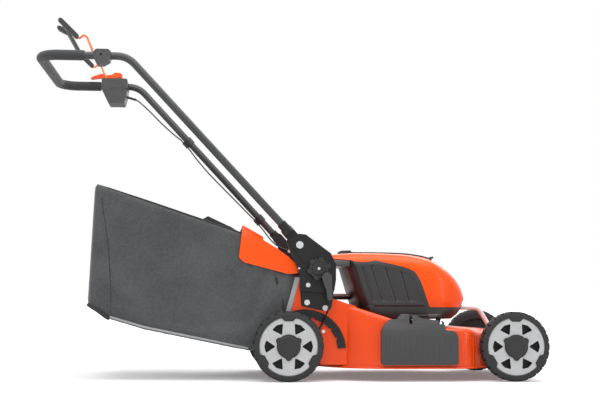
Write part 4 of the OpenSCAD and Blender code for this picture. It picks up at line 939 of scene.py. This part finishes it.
soften_edges(border, 38, 1.6)
dress(border, "deck", "vent_panels")

# %% Vent blades
SEAMS = [((219, 340), (260, 213)), ((248, 340), (287.5, 213)), ((290, 340), (329, 213)),
         ((334, 340), (368.5, 213)), ((377, 340), (412, 213))]
BLADE_T = 1.6


def blade_sink(u, z, last):
    """How deep a blade lies under the hood's surface; u runs from its rear edge, 0, to its front, 1."""
    sink = 5.6 - 3.2 * u - 1.4 * math.sin(math.pi * u)
    if u > 0.86 and not last:
        sink += 2.6 * ((u - 0.86) / 0.14) ** 2
    return sink - (sink - 1.2) * ease((232 - z) / 12)


def vent_blade(name, rear, front, side, last, across=14, up=26):
    """A blade between two seams on one side, laid as a grid of points."""
    grid = []
    for j in range(up + 1):
        foot, head = (between(seam[0], seam[1], j / up) for seam in (rear, front))
        for i in range(across + 1):
            x, z = between(foot, head, i / across)
            grid.append((x, side * flank(x, z, blade_sink(i / across, z, last)), z))
    faces = []
    for row in range(0, up * (across + 1), across + 1):
        for i in range(row, row + across):
            faces.append((i, i + 1, i + across + 2, i + across + 1))
    if side > 0:
        faces = [tuple(reversed(f)) for f in faces]
    blade = piece_of(name, grid, faces, hood_nylon)
    thick = blade.modifiers.new("thickness", "SOLIDIFY")
    thick.thickness = BLADE_T * MM
    thick.offset = -1
    return dress(blade, "deck")


for side, hand in ((-1, "right"), (1, "left")):
    for k in range(4):
        vent_blade(f"vent_blade_{hand}_{k + 1}", SEAMS[k], SEAMS[k + 1], side, k == 3)

# %% Trim under the shell
TRIM = [(112, 338), (112, 353.3), (150, 351.6), (188, 348.6), (188, 331), (178, 331)]
TRIM_ROOM = [(115, 341), (115, 400), (220, 400), (220, 334), (178, 334)]
strip = hood_form("trim_under_shell", 1.2)
carve(strip, "INTERSECT", between_sides(TRIM))
hollow = hood_form("inside", 4.2)
carve(hollow, "INTERSECT", between_sides(TRIM_ROOM))
carve(strip, "DIFFERENCE", hollow, hood_form("body", 1.1, tail=True))
paint(strip, hood_nylon)
soften_edges(strip, 38, 0.8)
dress(strip, "deck")
print("dark body:", len(base.data.polygons) + len(border.data.polygons), "faces")

# %% [markdown]
# The lid over the battery lies on the roof, proud of it by its own thickness, with a finger tab at
# its rear. It narrows to a rounded front edge, where its hinge is.

# %% Battery lid
TAB = [(172, 373.6), (206, 375.8), (206, 381.4), (200, 382.3), (176, 381.6), (172, 380)]
BARREL_X, BARREL_R = 453, 3.4
lid = hood_form("battery_lid", -3.4)
arc = [(math.cos(math.radians(a)), math.sin(math.radians(a))) for a in range(0, 91, 10)]
plan = [(176 + 9 - 9 * c, 67 + 9 * s) for c, s in arc] + [(436 + 16 * s, 53 + 16 * c) for c, s in arc]
plan = plan + [(x, -y) for x, y in reversed(plan)]
carve(lid, "INTERSECT", extruded("plan", *[[(x, y, z) for x, y in plan] for z in (300, 400)], orange_abs))
rooms = [cutter("hinge_room", ((445, s * 80 - 20, 300), (470, s * 80 + 20, 400))) for s in (-1, 1)]
carve(lid, "DIFFERENCE", hood_form("under_lid", -0.3), *rooms)
carve(lid, "UNION", hull("tab", [[(x, y, z) for x, z in TAB] for y in (-40, 40)], hood_nylon))
paint(lid, hood_nylon)
soften_edges(lid, 35, 0.8)
round_bar = circle(BARREL_X, read(CROWN, BARREL_X) + 4, BARREL_R)
barrel = piece_of("lid_barrel", *planked([[(x, y, z) for x, z in round_bar] for y in (-58, 58)]), hood_nylon)
soften_edges(barrel)
dress(lid, "lid", "battery_lid")
dress(barrel, "lid")
print("lid:", len(lid.data.polygons), "faces")

# %% [markdown]
# Seams, pipings, ribs and rims are thin, but they tell the eye how the mower is put together. One
# helper sweeps a round section along a smooth curve. Another drops a point onto the bag's cloth
# from outside, so that what is sewn to the bag lies on it.

# %% Trim helpers
def swept(name, path, r, material, poly=False):
    """A round bar of radius r along a path, in mm from the rear axle."""
    curve = bpy.data.curves.new(name, "CURVE")
    curve.dimensions = "3D"
    curve.bevel_depth = r * MM
    curve.bevel_resolution = 4
    curve.use_fill_caps = True
    line = curve.splines.new("POLY" if poly else "NURBS")
    line.points.add(len(path) - 1)
    for point, (x, y, z) in zip(line.points, path):
        point.co = ((x + REAR_AXLE) * MM, y * MM, z * MM, 1)
    if not poly:
        line.order_u, line.use_endpoint_u, line.resolution_u = 3, True, 8
    holder = bpy.data.objects.new(name, curve)
    bpy.context.scene.collection.objects.link(holder)
    evaluated = holder.evaluated_get(bpy.context.evaluated_depsgraph_get())
    mesh = bpy.data.meshes.new_from_object(evaluated)
    bpy.data.objects.remove(holder)
    piece = bpy.data.objects.new(name, mesh)
    bpy.context.scene.collection.objects.link(piece)
    mesh.materials.clear()
    mesh.materials.append(material)
    mesh.polygons.foreach_set("use_smooth", [True] * len(mesh.polygons))
    return piece


def beam(name, outline, x0, x1, material):
    """A solid with one outline in the y-z plane, between two places along the mower."""
    ends = [[(x, y, z) for y, z in outline] for x in (x0, x1)]
    return extruded(name, *ends, material)


def rounded(outline, radii, steps=6):
    """The outline with each corner swapped for a smooth bend that starts about a radius away."""
    out = []
    for i, corner in enumerate(outline):
        before, after = Vector(outline[i - 1]), Vector(outline[(i + 1) % len(outline)])
        corner = Vector(corner)
        a = corner + (before - corner).normalized() * min(radii[i], (before - corner).length * 0.45)
        b = corner + (after - corner).normalized() * min(radii[i], (after - corner).length * 0.45)
        for k in range(steps + 1):
            t = k / steps
            out.append(tuple(a * (1 - t) ** 2 + corner * 2 * t * (1 - t) + b * t * t))
    return out


# %% Bag trimmings
BAG_EDGE = 186
cloth_surface = BVHTree.FromObject(bag, bpy.context.evaluated_depsgraph_get())


def on_bag(x, z, side, proud):
    """The point of the cloth's side at (x, z), proud of it by some mm; its edge if that misses."""
    start = Vector(((x + REAR_AXLE) * MM, side * 0.4, z * MM))
    hit = cloth_surface.ray_cast(start, Vector((0, -side, 0)))[0]
    y = hit.y / MM + side * proud if hit else side * BAG_EDGE
    return (x, y, z)


def along(points, steps=8):
    """The points of a broken line, with some more between them."""
    pairs = zip(points, points[1:])
    return [between(a, b, k / steps) for a, b in pairs for k in range(steps)] + [points[-1]]


SEAM = [(-538, 522), (-524, 440), (-513, 357), (-506, 260), (-505, 192)]
CORNER = [(-572, 176, 216), (-560, 184, 208), (-545, 189, 200), (-530, 191, 189), (-516, 191, 178),
          (-508, 191, 176)]
STRIP_Y, STRIP_HALF = 192.4, 1.4
for side, hand in ((-1, "right"), (1, "left")):
    seam = [on_bag(x, z, side, 0.2) for x, z in along(SEAM)]
    dress(swept("bag_seam_" + hand, seam, 0.9, binding_tape), "bag")
    top = along([(a[0][0], side * (a[2] - 6), a[0][1] - 1.5) for a in BAG[1:6]], 4)
    dress(swept("top_piping_" + hand, top, 2.6, binding_tape), "bag")
    low = [(a[1][0], side * (a[2] - 5), a[1][1] + 2.5) for a in BAG[2:6]]
    dress(swept("floor_rim_" + hand, along(low, 4), 3.4, frame_nylon), "bag")
    flare = [(x, side * y, z) for x, y, z in CORNER]
    dress(swept("corner_binding_" + hand, flare, 5.0, binding_tape), "bag")
    strip = [(MOUTH_X - MOUTH_LEAN * (z - 200) - back, z)
             for z, back in ((99, 15.6), (295, 15.6), (295, 23), (99, 23))]
    tape = prism("mouth_strip_" + hand, strip, side * STRIP_Y - STRIP_HALF, side * STRIP_Y + STRIP_HALF)
    paint(dress(tape, "bag"), binding_tape)
print("bag trimmed")

# %% [markdown]
# The cover on the side outlet is one moulding: a bowed face with soft corners and fine upright
# ribs, which stiffen it, and a raised plate over its hinge. It is built as the mould would be
# filled: the outer form, less the same form pulled in by the wall.

# %% Side cover
COVER = [(264, 48), (487, 48), (487, 130), (476, 144), (450, 147), (446, 172), (380, 181),
         (364, 190), (319, 190), (311, 178), (290, 177), (276, 164), (264, 145)]
COVER_BENDS = [10, 9, 13, 6, 3, 5, 4, 4, 5, 3, 4, 8, 10]


COVER_FACE, COVER_BACK, COVER_FOOT = -258, -176, 48


def cover_form(name, t):
    """The cover's outer form pulled in by t mm; pulled in, it is open below."""
    outline = []
    for x, z in COVER:
        x += t if x < 370 else -t
        if z > 60:
            z -= t
        elif t:
            z -= 40
        outline.append((x, z))
    form = prism(name, rounded(outline, COVER_BENDS), COVER_FACE + t, COVER_BACK)
    foot = 0 if t else COVER_FOOT
    face = [(COVER_FACE + t, foot), (COVER_FACE + t, 146), (-256.5 + t, 154), (-250 + t, 176 - t),
            (-247 + t, 192 - t), (-120, 192 - t), (-120, foot)]
    return carve(form, "INTERSECT", beam("face", face, 200, 520, dark_nylon))


cover = cover_form("side_cover_moulding", 0)
soften_edges(cover, 30, 2.4)
wide_deck = hull("wide_deck", deck_form(-3, SKIRT - 10), orange_enamel)
ear_slots = [cutter("ear_slot", ((x - 0.4, -262, 164), (x + 8.4, -182, 204))) for x in (346, 431)]
room = cutter("room", ((200, -240, 40), (800, -40, 200)))
carve(cover, "DIFFERENCE", cover_form("inner", 3), wide_deck, room, *ear_slots)
paint(cover, dark_nylon)
soften_edges(cover, 32)
dress(cover, "cover", "side_cover")
ribs = [270, 279, 288, 302, 316, 331] + [348 + 16.5 * i for i in range(9)]
for number, x in enumerate(ribs, 1):
    tall = 140 if x < 330 else 137
    path = [(x, -257.9, 60), (x, -257.9, tall), (x, -257.2, tall + 5)]
    dress(swept(f"cover_rib_{number}", path, 0.9, dark_nylon), "cover")
lip = swept("cover_lip", [(270, -257.8, 55), (481, -257.8, 55)], 1.1, dark_nylon, poly=True)
dress(lip, "cover")
for number, (x0, x1) in enumerate(((321, 345), (402, 430)), 1):
    barrel = soften_edges(beam(f"cover_barrel_{number}", circle(-242, 187, 5), x0, x1, dark_nylon))
    dress(barrel, "cover")
print("side cover:", len(cover.data.polygons), "faces,", len(ribs), "ribs")

# %% [markdown]
# Presses leave their own marks on the deck: three folds where the round chamber meets the flat
# nose, and four raised rings in the nose that stiffen it. A dark duct with a pale cap carries the
# cable from the bracket to the motor.

# %% Deck details
for number, a in enumerate((-0.86, -0.80, -0.74), 1):
    d = deck_edge(a, 1.1)
    x, y = BLADE_X + d * math.cos(a), d * math.sin(a)
    fold = swept(f"deck_fold_{number}", [(x, y, 46), (x, y, 80), (x, y, 126)], 2.0, orange_enamel)
    dress(fold, "deck")
RING_R, RING_BEAD = 15, 3.2
for number, (x, y) in enumerate(((596, -132), (596, 132), (660, -120), (660, 120)), 1):
    level = top_at(x, y) - 1.2
    turns = [math.tau * i / 32 for i in range(33)]
    ring = [(x + RING_R * math.cos(a), y + RING_R * math.sin(a), level) for a in turns]
    dress(swept(f"nose_ring_{number}", ring, RING_BEAD, orange_enamel, poly=True), "deck")
duct = soften_edges(cutter("cable_duct", ((128, 20, 232), (212, 64, 242))), 30, 2.0)
rail = soften_edges(cutter("duct_cap", ((128, 18, 242), (210, 60, 250))), 30, 1.5)
paint(duct, black_nylon)
paint(rail, pale_nylon)
dress(duct, "deck")
dress(rail, "deck")
print("deck details made")

# %% [markdown]
# The rear flap closes the chute when the bag is off, and lies on the bag's mouth when it is on. It is
# a curved roof with two wings that hang down its sides, a lip at its free edge for the hand, and
# three knuckles on a rod. All its corners are rounded, since a moulding this thin would crack there.

# %% Rear flap
FLAP_TOP = [(-132, 437), (-99, 419), (-63, 399), (-27, 377), (3, 355), (22, 337), (34, 327)]
WING_LOW = [(33, 309), (4, 305), (-85, 328), (-128, 339), (-141, 353)]
FLAP_LIP = [(-130, 450), (-70, 416)]
LIP_ROOM = [(-130, 446.5), (-74, 413), (-72, 404.5), (-99, 419.6), (-136, 440)]
FLAP_HALF, FLAP_WALL, HINGE, KNUCKLE_R = 200, 2.5, (32, 322), 6
under = [(x - 0.6 * FLAP_WALL, z - FLAP_WALL) for x, z in reversed(FLAP_TOP)]
flap = prism("flap_moulding", FLAP_TOP + under, -FLAP_HALF + 1, FLAP_HALF - 1)
wing = rounded(FLAP_TOP + WING_LOW, [3] + [10] * 5 + [3] + [6] * 5)
half_wall = FLAP_WALL / 2
wings = []
for side in (-1, 1):
    middle = side * (FLAP_HALF - half_wall)
    wings.append(prism("wing", wing, middle - half_wall, middle + half_wall))
lip = prism("lip", FLAP_LIP + [(-67, 400), (-99, 418), (-132, 436)], -150, 150)
carve(lip, "DIFFERENCE", prism("inside", LIP_ROOM, -147.5, 147.5))
leaf = [HINGE, FLAP_TOP[6], FLAP_TOP[5], (HINGE[0] - 6, HINGE[1])]
knuckles = []
for y in (-170, -20, 130):
    knuckles.append(prism("knuckle", circle(*HINGE, KNUCKLE_R), y, y + 40))
    knuckles.append(prism("leaf", leaf, y, y + 40))
carve(flap, "UNION", *wings, lip, *knuckles)
paint(flap, orange_abs)
soften_edges(flap, 30, 0.9)
dress(flap, "flap", "rear_flap")
print("flap:", len(flap.data.polygons), "faces")

# %% [markdown]
# The stage is a plain pale floor under a white sky. The sky is white only where it is seen: by the
# camera, in a reflection or through something clear. It lights the mower at a lower level. Five
# lamps do the rest: a broad one above, as a softbox hangs in a studio, one from the viewer's side,
# a fainter one behind, and a narrow strip at each end. The floor glows more with distance, for the
# camera only, so that it fades into the sky.

# %% Stage and light
def lamp(name, place, target, size, power):
    """A square area lamp at place that faces target, both in metres."""
    light = bpy.data.lights.new(name, "AREA")
    light.shape = "RECTANGLE"
    light.size, light.size_y = size
    light.energy = power
    thing = bpy.data.objects.new(name, light)
    bpy.context.scene.collection.objects.link(thing)
    thing.location = place
    thing.rotation_euler = (Vector(target) - Vector(place)).to_track_quat("-Z", "Y").to_euler()
    return thing


lamp("softbox_above", (0.1, -0.5, 2.6), (0.0, 0.0, 0.2), (3.2, 2.0), 66)
lamp("softbox_viewer", (-0.4, -3.2, 2.2), (0.0, 0.0, 0.3), (1.6, 1.0), 26)
lamp("softbox_behind", (0.8, 2.2, 1.4), (0.0, 0.0, 0.4), (2.0, 1.2), 14)
lamp("strip_rear", (-2.4, -1.0, 0.6), (0.1, -0.2, 0.15), (0.3, 1.0), 8)
lamp("strip_front", (2.4, -2.0, 0.8), (0.1, -0.1, 0.2), (0.25, 1.3), 7)

sky = bpy.data.worlds.new("sky")
bpy.context.scene.world = sky
sky.use_nodes = True
tree = sky.node_tree
background = tree.nodes["Background"]
path = tree.nodes.new("ShaderNodeLightPath")
seen = path.outputs["Is Camera Ray"]
for ray in ("Is Glossy Ray", "Is Transmission Ray"):
    most = tree.nodes.new("ShaderNodeMath")
    most.operation = "MAXIMUM"
    tree.links.new(seen, most.inputs[0])
    tree.links.new(path.outputs[ray], most.inputs[1])
    seen = most.outputs[0]
direction = tree.nodes.new("ShaderNodeTexCoord")
split = tree.nodes.new("ShaderNodeSeparateXYZ")
tree.links.new(direction.outputs["Generated"], split.inputs[0])
height = tree.nodes.new("ShaderNodeMapRange")
for socket, value in (("From Min", 0.0), ("From Max", 0.6), ("To Min", 0.26), ("To Max", 0.75)):
    height.inputs[socket].default_value = value
tree.links.new(split.outputs["Z"], height.inputs["Value"])
level = tree.nodes.new("ShaderNodeMix")
level.inputs[3].default_value = 1.0
tree.links.new(height.outputs["Result"], level.inputs[2])
tree.links.new(seen, level.inputs[0])
tree.links.new(level.outputs[0], background.inputs["Strength"])
background.inputs["Color"].default_value = (1, 1, 1, 1)

floor_mesh = bpy.data.meshes.new("floor")
floor_mesh.from_pydata([(-30, -30, 0), (30, -30, 0), (30, 60, 0), (-30, 60, 0)], [], [(0, 1, 2, 3)])
floor = bpy.data.objects.new("floor", floor_mesh)
bpy.context.scene.collection.objects.link(floor)
paper, shader = new_material("studio_paper", "#ececec", Roughness=0.9)
rays = add_node(paper, "ShaderNodeLightPath")
away = add_node(paper, "ShaderNodeVectorMath", {0: place_in_metres(paper)}, operation="LENGTH")
fade = add_node(paper, "ShaderNodeMapRange", {"Value": away.outputs["Value"]},
                interpolation_type="SMOOTHSTEP", From_Min=0.9, From_Max=2.4, To_Min=0.17, To_Max=1.2)
glow = add_node(paper, "ShaderNodeMath", {0: rays.outputs["Is Camera Ray"], 1: fade.outputs["Result"]},
                operation="MULTIPLY")
shader.inputs["Emission Color"].default_value = (1, 1, 1, 1)
paper.node_tree.links.new(glow.outputs[0], shader.inputs["Emission Strength"])
floor_mesh.materials.append(paper)
print("stage set")

# %% [markdown]
# Last, a helper gives a box's two corners as plain lists of numbers.

# %% Box corners
def corners(box):
    """A box's two corners as plain lists of numbers."""
    return [[float(v) for v in corner] for corner in box]
